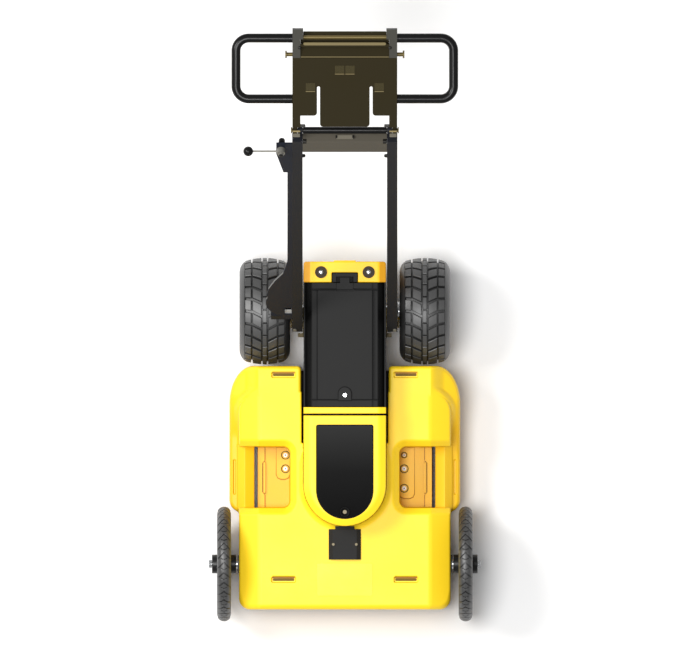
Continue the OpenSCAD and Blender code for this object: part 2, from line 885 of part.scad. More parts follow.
// Yellow front shell over the antennas
module nose_shell() {
    color(yellow)
        difference() {
            intersection() {
                along_y([nose_front_y, nose_rear_y])
                    full_section(nose_half_w, [shell_base_z, deck_z], side_edge_r);
                along_z([shell_base_z, deck_z])
                    nose_outline();
                along_x([-nose_half_w, nose_half_w])
                    mirror([1, 0])
                        one_round_area([-nose_rear_y, -nose_front_y], [shell_base_z, deck_z], front_edge_r);
            }
            along_y([nose_front_y + shell_wall + front_edge_r / 2, nose_rear_y - shell_wall])
                full_section(nose_half_w - shell_wall, [shell_base_z - overrun, deck_z - shell_wall],
                             side_edge_r - shell_wall / 2);
            on_both_sides() {
                strap_slot(nose_front_y + strap_slot_front_inset);
                along_x([pocket_inner_x - pocket_bevel, nose_half_w + overrun])
                    polygon([
                        [nose_rear_y + overrun, deck_z + overrun],
                        [nose_rear_y - pocket_bevel - overrun, deck_z + overrun],
                        [nose_rear_y + overrun, deck_z - pocket_bevel - overrun]
                    ]);
                translate([0, front_axle_y, front_axle_z])
                    rod_x([nose_half_w - 2 * shell_wall, nose_half_w + overrun], stub_d + 2 * seat_clear);
            }
        }
}

module nose_outline() {
    area([-nose_half_w, nose_half_w], [nose_front_y + nose_corner_r, nose_rear_y]);
    round_area([-nose_half_w, nose_half_w], [nose_front_y, nose_rear_y], nose_corner_r);
}

// Lower tier of a pod: the carrying wing and the pocket's floor
module wing_outline() {
    area([spine_half_w, pod_inner_x + pod_corner_r], [nose_rear_y, gap_end_y]);
    intersection() {
        one_round_area([pod_inner_x, wing_half_w], [nose_front_y, pod_rear_y], wing_rear_r);
        mirror([0, 1])
            one_round_area([0, wing_half_w], [0, -nose_rear_y], wing_front_r);
    }
}

// Upper tier of a pod, behind and beside the pocket
module pod_outline() {
    area([spine_half_w, pocket_inner_x], [nose_rear_y, gap_end_y]);
    one_round_area([pod_inner_x, upper_half_w], [pocket_rear_y, pod_rear_y - crease_step], wing_rear_r);
}

module pod_form() {
    intersection() {
        along_z([shell_base_z, wing_top_z])
            wing_outline();
        along_y([nose_rear_y - overrun, pod_rear_y + overrun])
            one_round_area([0, wing_half_w], [0, wing_top_z], wing_edge_r);
    }
    intersection() {
        along_z([shell_base_z, deck_z])
            pod_outline();
        along_y([nose_rear_y, pod_rear_y])
            one_round_area([0, upper_half_w], [0, deck_z], side_edge_r);
        along_x([0, wing_half_w])
            one_round_area([nose_rear_y - overrun, pod_rear_y - crease_step / 2], [0, deck_z], pod_edge_r);
    }
}

// Yellow side shell with its hand pocket and carrying wing
module pod(side) {
    color(yellow)
        on_side(side)
            difference() {
                pod_form();
                block([pocket_inner_x, grip_slot_x + grip_slot_w], [nose_rear_y - overrun, pocket_rear_y],
                      [pocket_floor_z, deck_z]);
                block([grip_slot_x, grip_slot_x + grip_slot_w], [nose_rear_y - overrun, pocket_rear_y],
                      [shell_base_z - overrun, deck_z]);
                along_x([pocket_inner_x - pocket_bevel, upper_half_w + overrun])
                    polygon([
                        [pocket_rear_y - overrun, deck_z + overrun],
                        [pocket_rear_y + pocket_bevel + overrun, deck_z + overrun],
                        [pocket_rear_y - overrun, deck_z - pocket_bevel - overrun]
                    ]);
                along_y([nose_rear_y - overrun, pocket_rear_y + pocket_bevel])
                    polygon([
                        [pocket_inner_x + overrun, deck_z + overrun],
                        [pocket_inner_x - pocket_bevel - overrun, deck_z + overrun],
                        [pocket_inner_x + overrun, deck_z - pocket_bevel - overrun]
                    ]);
                block([pod_inner_x + shell_wall, upper_half_w - pod_cavity_side],
                      [pocket_rear_y + shell_wall, pod_rear_y - shell_wall - pod_edge_r / 2],
                      [shell_base_z - overrun, cavity_top_z]);
                strap_slot(pod_rear_y - strap_slot_inset);
            }
}

// Sliding pan under the shells, with the two grip slots left open
module skid_pan() {
    color("#3B3B3B")
        difference() {
            along_z([pan_top_z - pan_t, pan_top_z])
                round_area([-nose_half_w + pan_inset, nose_half_w - pan_inset],
                           [nose_front_y + pan_inset, pod_rear_y - pan_inset], nose_corner_r);
            on_both_sides()
                block([grip_slot_x, grip_slot_x + grip_slot_w], [nose_rear_y, pocket_rear_y],
                      [pan_top_z - pan_t - overrun, pan_top_z + overrun]);
        }
}

// Shielded antenna box that stands on the pan inside the nose
module antenna(side) {
    x = [antenna_gap / 2, nose_half_w - shell_wall - antenna_margin];
    y = [nose_front_y + shell_wall + antenna_margin + front_edge_r / 2,
         nose_rear_y - shell_wall - antenna_margin];
    on_side(side)
        difference() {
            block(x, y, [pan_top_z, pan_top_z + antenna_h]);
            block([x[0] + antenna_wall_t, x[1] - antenna_wall_t],
                  [y[0] + antenna_wall_t, y[1] - antenna_wall_t],
                  [pan_top_z - overrun, pan_top_z + antenna_h - antenna_wall_t]);
        }
}

module low_band_antenna() {
    color("#9A9C9E")
        antenna(-1);
}

module high_band_antenna() {
    color("#A8A49A")
        antenna(1);
}

// Cable socket: a flange and a barrel on the pocket's floor
module fitting(d, place) {
    translate([fitting_x, pocket_rear_y - place, pocket_floor_z]) {
        cylinder(d = d, h = fitting_ring_t);
        cylinder(d = d * fitting_centre_share * 2 / (1 + fitting_centre_share), h = fitting_h);
    }
}

module connectors() {
    color(steel) {
        on_side(-1)
            for (row = [0, 1])
                fitting(fitting_d, fitting_first + row * fitting_pitch);
        fitting(fitting_small_d, fitting_first);
        fitting(fitting_d, fitting_first + fitting_pitch);
        fitting(fitting_d, fitting_first + fitting_far);
    }
}

// Blank plate on the nose
module label_plate() {
    color("#FBF35A")
        along_z([deck_z, deck_z + label_t])
            round_area([-label_half_w, label_half_w],
                       [bracket_front_y - label_gap - label_len, bracket_front_y - label_gap],
                       label_corner_r);
}

module rear_axle() {
    color(steel)
        translate([0, rear_axle_y, rear_axle_z])
            rod_x([-axle_half_len, axle_half_len], axle_d);
}

// Flanged tubes on the axle between the tub and the hubs
module axle_spacers() {
    hub_face_x = rear_wheel_x - rear_hub_w / 2 - side_clear;
    flange_x = spine_half_w + spacer_flange_gap;
    color(black)
        translate([0, rear_axle_y, rear_axle_z])
            on_both_sides()
                difference() {
                    union() {
                        rod_x([spine_half_w, hub_face_x], spacer_d);
                        rod_x([flange_x, flange_x + spacer_flange_w], spacer_flange_d);
                    }
                    rod_x([spine_half_w - overrun, hub_face_x + overrun], axle_d + 2 * seat_clear);
                }
}

// Hexagon nut along X with its inner face at a place
module nut_x(from, thickness, d, bore) {
    difference() {
        translate([from, 0, 0])
            rotate([0, 90, 0])
                cylinder(d = d, h = thickness, $fn = 6);
        rod_x([from - overrun, from + thickness + overrun], bore);
    }
}

module axle_nuts() {
    color(steel)
        on_both_sides() {
            translate([0, rear_axle_y, rear_axle_z])
                nut_x(rear_wheel_x + rear_hub_w / 2 + side_clear, axle_nut_t, axle_nut_d,
                      axle_d + 2 * seat_clear);
            translate([0, front_axle_y, front_axle_z])
                nut_x(front_wheel_x + front_hub_w / 2 + side_clear, stub_nut_t, stub_nut_d,
                      stub_d + 2 * seat_clear);
        }
}

// Front stub axles, each with a collar on the nose's side wall
module stub_axles() {
    color(steel)
        translate([0, front_axle_y, front_axle_z])
            on_both_sides() {
                rod_x([nose_half_w - stub_root_len, stub_tip_x], stub_d);
                rod_x([nose_half_w, front_wheel_x - front_hub_w / 2 - side_clear], stub_collar_d);
            }
}

// Pick-up rings of the odometer round the stub collars
module odometer_rings() {
    color(black)
        translate([0, front_axle_y, front_axle_z])
            on_both_sides()
                difference() {
                    rod_x([nose_half_w, nose_half_w + odometer_w], odometer_d);
                    rod_x([nose_half_w - overrun, nose_half_w + odometer_w + overrun],
                          stub_collar_d + 2 * seat_clear);
                }
}

// Plate with the pivot stud, the rear stop of the rail and a front tab
module pivot_mounts() {
    plate_x = [spine_half_w, spine_half_w + stud_plate_t];
    tab_x = [spine_half_w + stud_plate_t / 2, plate_x[1] + stop_w];
    tab_y = [-front_tab_gap - front_tab_len, -front_tab_gap];
    tab_z = [-front_tab_drop, -front_tab_drop + front_tab_h];
    stop_z = [-rail_face - side_clear - stop_h, -rail_face - side_clear];
    color(olive)
        on_both_sides() {
            translate([0, pivot_y, pivot_z]) {
                along_x(plate_x) {
                    circle(d = stud_plate_d);
                    area([tab_y[0] - plate_margin, 0], [tab_z[0] - plate_margin, tab_z[1] + plate_margin]);
                    rotate(rail_lean)
                        area([0, stop_y + stop_len + plate_margin], [stop_z[0] - plate_margin, 0]);
                }
                rod_x([bay_half_w, rail_outer_x + side_clear + stud_head_t], stud_d);
                rod_x([rail_outer_x + side_clear, rail_outer_x + side_clear + stud_head_t], stud_head_d);
                block(tab_x, tab_y, tab_z);
            }
            in_rail_frame()
                block(tab_x, [stop_y, stop_y + stop_len], stop_z);
        }
}

// Section of the rear tyre: broad, with round shoulders and four grooves
module rear_tyre_section() {
    half_w = rear_tyre_w / 2;
    difference() {
        union() {
            round_area([rear_rim_d / 2 + rear_rim_wall, rear_tyre_d / 2], [-half_w, half_w], rear_shoulder_r);
            area([rear_rim_d / 2, rear_tyre_d / 2 - rear_shoulder_r], [-rear_rim_w / 2, rear_rim_w / 2]);
        }
        area([rear_rim_d / 2 - overrun, rear_tyre_d / 2 - rear_carcass_t],
             [-rear_rim_w / 2 + rear_carcass_t, rear_rim_w / 2 - rear_carcass_t]);
        for (place = [-outer_groove_x, -inner_groove_x, inner_groove_x, outer_groove_x])
            area([rear_tyre_d / 2 - tread_groove_depth, rear_tyre_d / 2 + overrun],
                 [place - tread_groove_w / 2, place + tread_groove_w / 2]);
    }
}

module rear_tyre(side) {
    color(rubber)
        at_rear_wheel(side)
            turned_x()
                rear_tyre_section();
}

// Section of a hub with a bearing seat at each end
module hub_section(hub_d, hub_w, shaft_d, bearing_d, bearing_w) {
    difference() {
        area([shaft_d / 2 + hub_air, hub_d / 2], [-hub_w / 2, hub_w / 2]);
        for (end = [-1, 1])
            area([0, bearing_d / 2 + seat_clear],
                 [end * hub_w / 2 - bearing_w, end * hub_w / 2 + bearing_w]);
    }
}

module bearing_pair_section(hub_w, shaft_d, bearing_d, bearing_w) {
    for (end = [-1, 1])
        area([shaft_d / 2 + run_clear, bearing_d / 2],
             [end * (hub_w - bearing_w) / 2 - bearing_w / 2, end * (hub_w - bearing_w) / 2 + bearing_w / 2]);
}

module rear_rim(side) {
    barrel_r = rear_rim_d / 2 - seat_clear;
    color("#D9DADB")
        at_rear_wheel(side)
            turned_x() {
                area([barrel_r - rear_rim_wall, barrel_r], [-rear_rim_w / 2, rear_rim_w / 2]);
                area([rear_hub_d / 2 - hub_air, barrel_r], [-rear_web_t / 2, rear_web_t / 2]);
                hub_section(rear_hub_d, rear_hub_w, axle_d, rear_bearing_d, rear_bearing_w);
            }
}

module rear_bearings(side) {
    color(steel)
        at_rear_wheel(side)
            turned_x()
                bearing_pair_section(rear_hub_w, axle_d, rear_bearing_d, rear_bearing_w);
}

// Section of the front tyre: narrow and round
module front_tyre_section() {
    crown_r = front_tyre_w / 2;
    bead_r = front_tyre_d / 2 - front_tyre_depth;
    intersection() {
        translate([front_tyre_d / 2 - crown_r, 0])
            circle(crown_r);
        area([bead_r, front_tyre_d / 2], [-crown_r, crown_r]);
    }
    area([bead_r, front_tyre_d / 2 - crown_r], [-front_rim_w / 2, front_rim_w / 2]);
}

module front_tyre(side) {
    color(rubber)
        at_front_wheel(side)
            turned_x()
                front_tyre_section();
}

module front_hub(side) {
    rim_r = front_tyre_d / 2 - front_tyre_depth - seat_clear;
    color(black)
        at_front_wheel(side)
            turned_x() {
                area([rim_r - front_rim_wall, rim_r], [-front_rim_w / 2, front_rim_w / 2]);
                area([front_hub_d / 2 - hub_air, rim_r], [-front_web_t / 2, front_web_t / 2]);
                hub_section(front_hub_d, front_hub_w, stub_d, front_bearing_d, front_bearing_w);
            }
}

module front_bearings(side) {
    color(steel)
        at_front_wheel(side)
            turned_x()
                bearing_pair_section(front_hub_w, stub_d, front_bearing_d, front_bearing_w);
}

// Half section of the battery: (distance from the middle, height)
module battery_section() {
    polygon([
        [0, battery_base_z + battery_base_t],
        [battery_half_w, battery_base_z + battery_base_t],
        [battery_half_w, battery_deck_z - battery_slope_h],
        [battery_shoulder_half_w, battery_deck_z],
        [battery_panel_half_w, battery_deck_z],
        [battery_panel_half_w, battery_top_z],
        [0, battery_top_z]
    ]);
}

// Black battery case, open below, with grooves, a finger tab and the latch seat
module battery_case() {
    inside_half_w = battery_shoulder_half_w - battery_wall;
    color("#343434")
        difference() {
            union() {
                along_y([battery_front_y, battery_rear_y]) {
                    battery_section();
                    mirror([1, 0])
                        battery_section();
                }
                along_z([battery_top_z - overrun, battery_top_z + tab_h]) {
                    area([-tab_half_w, tab_half_w], [tab_front_y, tab_front_y + tab_len - tab_half_w]);
                    translate([0, tab_front_y + tab_len - tab_half_w])
                        circle(tab_half_w);
                }
            }
            block([-inside_half_w, inside_half_w],
                  [battery_front_y + battery_wall, battery_rear_y - battery_wall],
                  [battery_base_z, battery_deck_z - 2 * battery_wall]);
            for (y = [battery_rear_y - rear_groove_inset, battery_front_y + front_groove_inset])
                block([-battery_half_w, battery_half_w], [y - groove_w / 2, y + groove_w / 2],
                      [battery_top_z - battery_panel_h - groove_depth, battery_top_z + overrun]);
            block([-latch_half_w - side_clear, latch_half_w + side_clear],
                  [latch_front_y - latch_travel - side_clear, battery_rear_y + overrun],
                  [battery_deck_z, battery_top_z + overrun]);
        }
}

module battery_base() {
    color("#2A2A2A")
        block([-battery_half_w, battery_half_w], [battery_front_y, battery_rear_y],
              [battery_base_z, battery_base_z + battery_base_t]);
}

// Cells that stand on the battery's base plate
module battery_cells() {
    pitch = cell_d + cell_gap;
    color("#5C7A94")
        translate([-(cell_rows - 1) * pitch / 2,
                   (battery_front_y + battery_rear_y - (cell_columns - 1) * pitch) / 2,
                   battery_base_z + battery_base_t])
            for (row = [0 : cell_rows - 1], column = [0 : cell_columns - 1])
                translate([row * pitch, column * pitch, 0])
                    cylinder(d = cell_d, h = cell_h);
}

module battery_screw() {
    color(steel)
        translate([0, tab_front_y + battery_screw_d, battery_top_z + tab_h])
            cylinder(d = battery_screw_d, h = battery_screw_t);
}

// Sliding latch whose tongue reaches into the rear cap's notch
module battery_latch() {
    color("#262626") {
        block([-latch_half_w, latch_half_w], [latch_front_y, battery_rear_y],
              [battery_deck_z + latch_air, battery_deck_z + latch_air + latch_t]);
        block([-latch_tongue_half_w, latch_tongue_half_w],
              [battery_rear_y, battery_rear_y + latch_tongue_len],
              [battery_deck_z + latch_air, battery_deck_z + latch_air + latch_t]);
    }
}

// Square rail tube with its pivot bore and its inner hinge knuckle
module rail(side) {
    color(black)
        on_side(side)
            in_rail_frame()
                difference() {
                    union() {
                        difference() {
                            block([rail_inner_x, rail_outer_x], [-rail_foot, rail_end_y],
                                  [-rail_face, rail_face]);
                            block([rail_inner_x + rail_wall, rail_outer_x - rail_wall],
                                  [-rail_foot - overrun, rail_end_y - knuckle_root],
                                  [-rail_face + rail_wall, rail_face - rail_wall]);
                        }
                        translate([0, rail_len, -hinge_drop])
                            rod_x([rail_inner_x, knuckle_split_x - side_clear / 2], 2 * knuckle_r);
                        block([rail_inner_x, knuckle_split_x - side_clear / 2],
                              [rail_end_y - overrun, rail_len], [-rail_face, -rail_face + knuckle_h]);
                    }
                    rod_x([rail_inner_x - overrun, rail_outer_x + overrun], stud_d + 2 * run_clear);
                    translate([0, rail_len, -hinge_drop])
                        rod_x([rail_inner_x - overrun, rail_outer_x + overrun], hinge_pin_d + 2 * run_clear);
                }
}

// Angle plate between the rails, under the hinge
module cross_plate() {
    color("#656156")
        in_rail_frame()
            difference() {
                union() {
                    block([-rail_inner_x, rail_inner_x], [rail_end_y - cross_plate_w, rail_end_y],
                          [rail_face - cross_plate_t, rail_face]);
                    block([-rail_inner_x, rail_inner_x], [rail_end_y - cross_plate_t, rail_end_y],
                          [-rail_face, rail_face]);
                }
                on_both_sides()
                    block([rail_inner_x - cross_notch, rail_inner_x + overrun],
                          [rail_end_y - cross_notch, rail_end_y + overrun],
                          [rail_face - cross_notch, rail_face + overrun]);
            }
}

// Pin through the four knuckles, with a head at each end
module hinge_pin() {
    color("#B79A3B")
        in_rail_frame()
            translate([0, rail_len, -hinge_drop]) {
                rod_x([-rail_outer_x - side_clear, rail_outer_x + side_clear], hinge_pin_d);
                on_both_sides()
                    rod_x([rail_outer_x + side_clear, rail_outer_x + side_clear + pin_head_t], pin_head_d);
            }
}

// Gloss tube on the hinge pin, between the rails
module hinge_tube() {
    reach = rail_inner_x - side_clear;
    color("#1D1D1E")
        in_rail_frame()
            translate([0, rail_len, -hinge_drop])
                difference() {
                    rod_x([-reach, reach], hinge_tube_d);
                    rod_x([-reach - overrun, reach + overrun], hinge_pin_d + 2 * seat_clear);
                }
}

// Thumb slide in the middle of the cross plate's upper edge
module fold_latch() {
    color("#8D8471")
        in_rail_frame() {
            block([-fold_latch_half_w, fold_latch_half_w],
                  [rail_end_y + panel_clear, rail_end_y + latch_slide_t],
                  [-latch_slide_w / 2, latch_slide_w / 2]);
            on_both_sides()
                block([fold_latch_half_w, fold_latch_half_w + latch_end_w],
                      [rail_end_y + panel_clear, rail_end_y + latch_slide_t + side_clear],
                      [-latch_slide_w / 2, latch_slide_w / 2]);
        }
}

// Outline of the guard plate in the rail's plane: x outwards from the rail, y up the rail
module guard_outline() {
    bracket_foot_y = lever_bracket_y - lever_bracket_len;
    area([0, guard_strip_w], [guard_bulge_y, lever_bracket_y]);
    area([0, guard_foot_w], [guard_foot_y, guard_bulge_y]);
    intersection() {
        translate([0, guard_bulge_y])
            circle(guard_bulge_w);
        area([0, 2 * guard_bulge_w], [0, guard_slope_y]);
    }
    polygon([
        [0, guard_bulge_y],
        for (share = guard_slope_shares)
            [guard_bulge_w * share[0], guard_bulge_y + (guard_slope_y - guard_bulge_y) * share[1]],
        [0, guard_slope_y]
    ]);
    polygon([
        [0, bracket_foot_y],
        [lever_bracket_w * guard_taper_share, bracket_foot_y],
        [lever_bracket_w, lever_bracket_y - lever_bracket_len * guard_shoulder_share],
        [lever_bracket_w, lever_bracket_y],
        [0, lever_bracket_y]
    ]);
}

// Left guard plate with the lever bracket above and two eyes for the brake rod
module guard_plate() {
    color(black)
        in_rail_frame()
            difference() {
                union() {
                    translate([-rail_outer_x, 0, 0])
                        mirror([1, 0, 0])
                            along_z([guard_under, guard_top])
                                difference() {
                                    guard_outline();
                                    area([guard_window_gap, guard_window_gap + guard_window_w],
                                         [guard_window_y, guard_window_y + guard_window_len]);
                                }
                    for (y = guide_places)
                        block([brake_rod_x - brake_rod_d / 2 - guide_wall, -rail_outer_x],
                              [y, y + guide_len],
                              [brake_rod_z - brake_rod_d / 2 - guide_wall, guard_under]);
                }
                translate([brake_rod_x, 0, brake_rod_z])
                    rotate([-90, 0, 0])
                        cylinder(d = brake_rod_d + 2 * run_clear, h = lever_bracket_y);
                translate([lever_x, lever_y, guard_under - overrun])
                    cylinder(d = lever_pin_d + 2 * run_clear, h = guard_t + 2 * overrun);
            }
}

// Bolt heads on the front face of each rail's foot
module foot_bolts() {
    color(steel)
        in_rail_frame()
            on_both_sides()
                translate([rail_outer_x - foot_bolt_inset, -foot_bolt_inset, rail_face])
                    cylinder(d = foot_bolt_d, h = foot_bolt_t);
}

// Brake lever: swivel, cap, rod, and the crank under the bracket
module brake_lever() {
    color(steel)
        in_rail_frame()
            translate([lever_x, lever_y, 0]) {
                translate([0, 0, guard_top + side_clear])
                    cylinder(d = swivel_d, h = swivel_h);
                translate([0, 0, guard_top + side_clear + swivel_h])
                    cylinder(d = swivel_cap_d, h = swivel_cap_h);
                translate([0, 0, guard_under - side_clear - crank_t])
                    cylinder(d = lever_pin_d, h = guard_t + crank_t + 2 * side_clear);
                translate([0, 0, lever_rod_z])
                    rod_x([-lever_len, 0], lever_rod_d);
                block([-crank_w / 2, brake_rod_x - lever_x + brake_rod_d / 2], [-crank_w / 2, crank_w / 2],
                      [guard_under - side_clear - crank_t, guard_under - side_clear]);
            }
}

// Ball on the end of the lever's rod
module lever_knob() {
    color("#1E1E1E")
        in_rail_frame()
            translate([lever_x - lever_len, lever_y, lever_rod_z])
                difference() {
                    sphere(d = lever_knob_d);
                    rod_x([-overrun, lever_knob_d], lever_rod_d + 2 * seat_clear);
                }
}

// Brake rod with the shoe that comes down on the left tyre
module brake_rod() {
    color(grey)
        in_rail_frame()
            difference() {
                union() {
                    translate([brake_rod_x, shoe_top_y - overrun, brake_rod_z])
                        rotate([-90, 0, 0])
                            cylinder(d = brake_rod_d, h = lever_y - shoe_top_y - crank_w / 2);
                    block([shoe_x - shoe_w / 2, shoe_x + shoe_w / 2], [0, shoe_top_y],
                          [shoe_z, shoe_z + shoe_t]);
                }
                for (fold = [0, fold_angle])
                    translate([0, shoe_travel, 0])
                        rotate([-rail_lean - fold, 0, 0])
                            translate([0, rear_axle_y - pivot_y, rear_axle_z - pivot_z])
                                rod_x([shoe_x - shoe_w, shoe_x + shoe_w], rear_tyre_d + 2 * shoe_gap);
            }
}

// Tray sheet with its tongue, on two side arms with the outer hinge knuckles
module tray_frame() {
    color(olive)
        in_upper_frame()
            difference() {
                union() {
                    along_z([arm_top - tray_t, arm_top])
                        tray_outline();
                    on_both_sides() {
                        block([arm_inner_x, arm_outer_x], [hinge_relief, corner_front_y],
                              [arm_floor, arm_top]);
                        rod_x([knuckle_split_x + side_clear / 2, arm_outer_x], 2 * knuckle_r);
                        block([knuckle_split_x + side_clear / 2, arm_outer_x], [0, hinge_relief + overrun],
                              [arm_floor, arm_floor + knuckle_h]);
                    }
                }
                on_both_sides()
                    rod_x([rail_inner_x, rail_outer_x + overrun], hinge_pin_d + 2 * run_clear);
            }
}

module tray_outline() {
    difference() {
        union() {
            area([-arm_outer_x, arm_outer_x], [tray_front_y, corner_front_y]);
            round_area([-tongue_half_w, tongue_half_w], [tongue_front_y, tongue_slot_y], tongue_corner_r);
        }
        on_both_sides() {
            area([tongue_half_w, tongue_half_w + tongue_slot_w], [0, tongue_slot_y - tongue_slot_w / 2]);
            translate([tongue_half_w + tongue_slot_w / 2, tongue_slot_y - tongue_slot_w / 2])
                circle(d = tongue_slot_w);
        }
    }
}

// Grey brackets behind the arms, which hold the rear legs, the bar and the plungers
module corner_brackets() {
    color(grey)
        in_upper_frame()
            on_both_sides()
                difference() {
                    union() {
                        block([arm_inner_x, arm_outer_x], [corner_front_y, upper_len],
                              [arm_floor, arm_top + corner_rise]);
                        block([corner_block_x, arm_outer_x], [upper_len - corner_block_len, upper_len],
                              [arm_floor, arm_top + corner_rise]);
                    }
                    translate([0, plunger_y, plunger_z])
                        rod_x([arm_outer_x - plunger_depth - plunger_flange_t / 2, arm_outer_x + overrun],
                              plunger_d + 2 * run_clear);
                }
}

// Tube of one handle loop at a given diameter
module loop_path(d) {
    bend_x = loop_reach_x - loop_bend_r;
    translate([0, loop_front_y, loop_z])
        rod_x([arm_outer_x, bend_x], d);
    translate([0, loop_rear_y, loop_z])
        rod_x([arm_outer_x, bend_x], d);
    translate([loop_reach_x, loop_front_y + loop_bend_r, loop_z])
        rotate([-90, 0, 0])
            cylinder(d = d, h = loop_rear_y - loop_front_y - 2 * loop_bend_r);
    translate([bend_x, loop_front_y + loop_bend_r, loop_z])
        rotate([0, 0, -90])
            rotate_extrude(angle = 90)
                translate([loop_bend_r, 0])
                    circle(d = d);
    translate([bend_x, loop_rear_y - loop_bend_r, loop_z])
        rotate_extrude(angle = 90)
            translate([loop_bend_r, 0])
                circle(d = d);
}

module handle_loop(side) {
    color("#202020")
        on_side(side)
            in_upper_frame()
                difference() {
                    loop_path(loop_tube_d);
                    loop_path(loop_bore);
                }
}

// Bent sheet between the corner brackets, with a lip for the device
module ledge() {
    band_z = arm_top - ledge_band_drop;
    color("#867A5A")
        in_upper_frame()
            along_x([-arm_inner_x, arm_inner_x])
                polygon([
                    [corner_front_y, arm_top - ledge_t],
                    [corner_front_y, arm_top],
                    [corner_front_y + ledge_t, arm_top],
                    [ledge_lip_y - ledge_lip_len, band_z + ledge_t],
                    [ledge_lip_y - ledge_lip_len, band_z + ledge_lip_h],
                    [ledge_lip_y, band_z + ledge_lip_h],
                    [ledge_lip_y, band_z],
                    [ledge_lip_y - ledge_lip_len, band_z]
                ]);
}

module ledge_bar() {
    color("#7A6A35")
        in_upper_frame()
            translate([0, ledge_bar_y, ledge_bar_z])
                rod_x([-corner_block_x, corner_block_x], ledge_bar_d);
}

// Sprung pull pin in the corner bracket
module plunger(side) {
    color("#6E6230")
        on_side(side)
            in_upper_frame()
                translate([0, plunger_y, plunger_z]) {
                    rod_x([arm_outer_x - plunger_depth, arm_outer_x + plunger_reach], plunger_d);
                    rod_x([arm_outer_x + plunger_reach - plunger_flange_t, arm_outer_x + plunger_reach],
                          plunger_flange_d);
                }
}

spine_tub();
rear_cap();
cap_bolts();
bay_bulkhead();
control_cover();
window_panel();
deck_screws();
control_unit();
front_bracket();
nose_shell();
pod(-1);  // left_pod
pod(1);  // right_pod
skid_pan();
low_band_antenna();
high_band_antenna();
connectors();
label_plate();
rear_axle();
axle_spacers();
axle_nuts();
stub_axles();
odometer_rings();
pivot_mounts();
rear_tyre(-1);  // rear_left_tyre
rear_rim(-1);  // rear_left_rim
rear_bearings(-1);  // rear_left_bearings
rear_tyre(1);  // rear_right_tyre
rear_rim(1);  // rear_right_rim
rear_bearings(1);  // rear_right_bearings
front_tyre(-1);  // front_left_tyre
front_hub(-1);  // front_left_hub
front_bearings(-1);  // front_left_bearings
front_tyre(1);  // front_right_tyre
front_hub(1);  // front_right_hub
front_bearings(1);  // front_right_bearings
battery_case();
battery_base();
battery_cells();
battery_screw();
battery_latch();
rail(-1);  // left_rail
rail(1);  // right_rail
cross_plate();
hinge_pin();
hinge_tube();
fold_latch();
guard_plate();
foot_bolts();
brake_lever();
lever_knob();
brake_rod();
tray_frame();
corner_brackets();
handle_loop(-1);  // left_loop
handle_loop(1);  // right_loop
ledge();
ledge_bar();
plunger(-1);  // left_plunger
plunger(1);  // right_plunger
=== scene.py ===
import math

import bmesh
import bpy
import numpy as np
import openvdb
from mathutils import Matrix, Vector


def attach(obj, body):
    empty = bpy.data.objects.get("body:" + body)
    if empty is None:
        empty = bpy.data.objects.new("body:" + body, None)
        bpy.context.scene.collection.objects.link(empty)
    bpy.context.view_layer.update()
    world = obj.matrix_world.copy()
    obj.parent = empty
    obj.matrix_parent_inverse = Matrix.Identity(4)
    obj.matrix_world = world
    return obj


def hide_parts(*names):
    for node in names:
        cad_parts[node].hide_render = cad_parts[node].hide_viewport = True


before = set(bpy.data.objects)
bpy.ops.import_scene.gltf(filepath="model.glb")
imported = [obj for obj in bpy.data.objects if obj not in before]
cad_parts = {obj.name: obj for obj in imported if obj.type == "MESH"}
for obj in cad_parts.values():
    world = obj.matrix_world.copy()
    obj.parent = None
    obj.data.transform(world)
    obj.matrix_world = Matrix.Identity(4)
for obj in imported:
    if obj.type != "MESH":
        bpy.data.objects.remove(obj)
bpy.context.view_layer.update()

# Studio
# A pale floor under two large soft lamps, one almost overhead and one from the upper left, and an even
# white surround. The camera looks straight down, with the handle at the top of the picture.
scene = bpy.context.scene
scene.view_settings.view_transform = "Standard"
eye = bpy.data.objects.new("eye", bpy.data.cameras.new("eye"))
scene.collection.objects.link(eye)
eye.data.type = "ORTHO"
eye.data.ortho_scale = 1.75
eye.data.dof.use_dof = False
eye.location = (0.013, -0.0006, 4.0)
scene.camera = eye


def valued(node, **values):
    """Sets the named inputs of a node, with _ for each space in a name"""
    for name, value in values.items():
        node.inputs[name.replace("_", " ")].default_value = value


scene.world = bpy.data.worlds.new("surround")
scene.world.use_nodes = True
sky = scene.world.node_tree.nodes["Background"]
valued(sky, Color=(1.0, 1.0, 1.0, 1.0), Strength=0.48)

for lamp_name, place, aim, size, power, tint in (
    ("top", (-0.80, -0.50, 6.0), (0.0, -0.05, 0.2), 2.1, 232.0, (1.0, 1.0, 1.0)),
    ("key", (-3.0, 0.9, 4.2), (0.0, -0.15, 0.2), 1.9, 165.0, (1.0, 0.99, 0.97)),
):
    lamp = bpy.data.objects.new(lamp_name, bpy.data.lights.new(lamp_name, "AREA"))
    scene.collection.objects.link(lamp)
    lamp.data.shape = "DISK"
    lamp.data.size = size
    lamp.data.energy = power
    lamp.data.color = tint
    lamp.location = place
    lamp.rotation_euler = (Vector(aim) - Vector(place)).to_track_quat("-Z", "Y").to_euler()


def socketed(tree, direction, **kinds):
    """Gives a node group its named inputs or outputs"""
    for name, kind in kinds.items():
        tree.interface.new_socket(name, in_out=direction, socket_type="NodeSocket" + kind)


def wired(tree, *pairs):
    """Links the output to the input of each pair"""
    for start, end in pairs:
        tree.links.new(start, end)


def math_node(tree, operation, *constants):
    """A Math node with constants on the inputs after its first, where one is given"""
    node = tree.nodes.new("ShaderNodeMath")
    node.operation = operation
    for socket, value in zip(node.inputs[1:], constants):
        if value is not None:
            socket.default_value = value
    return node


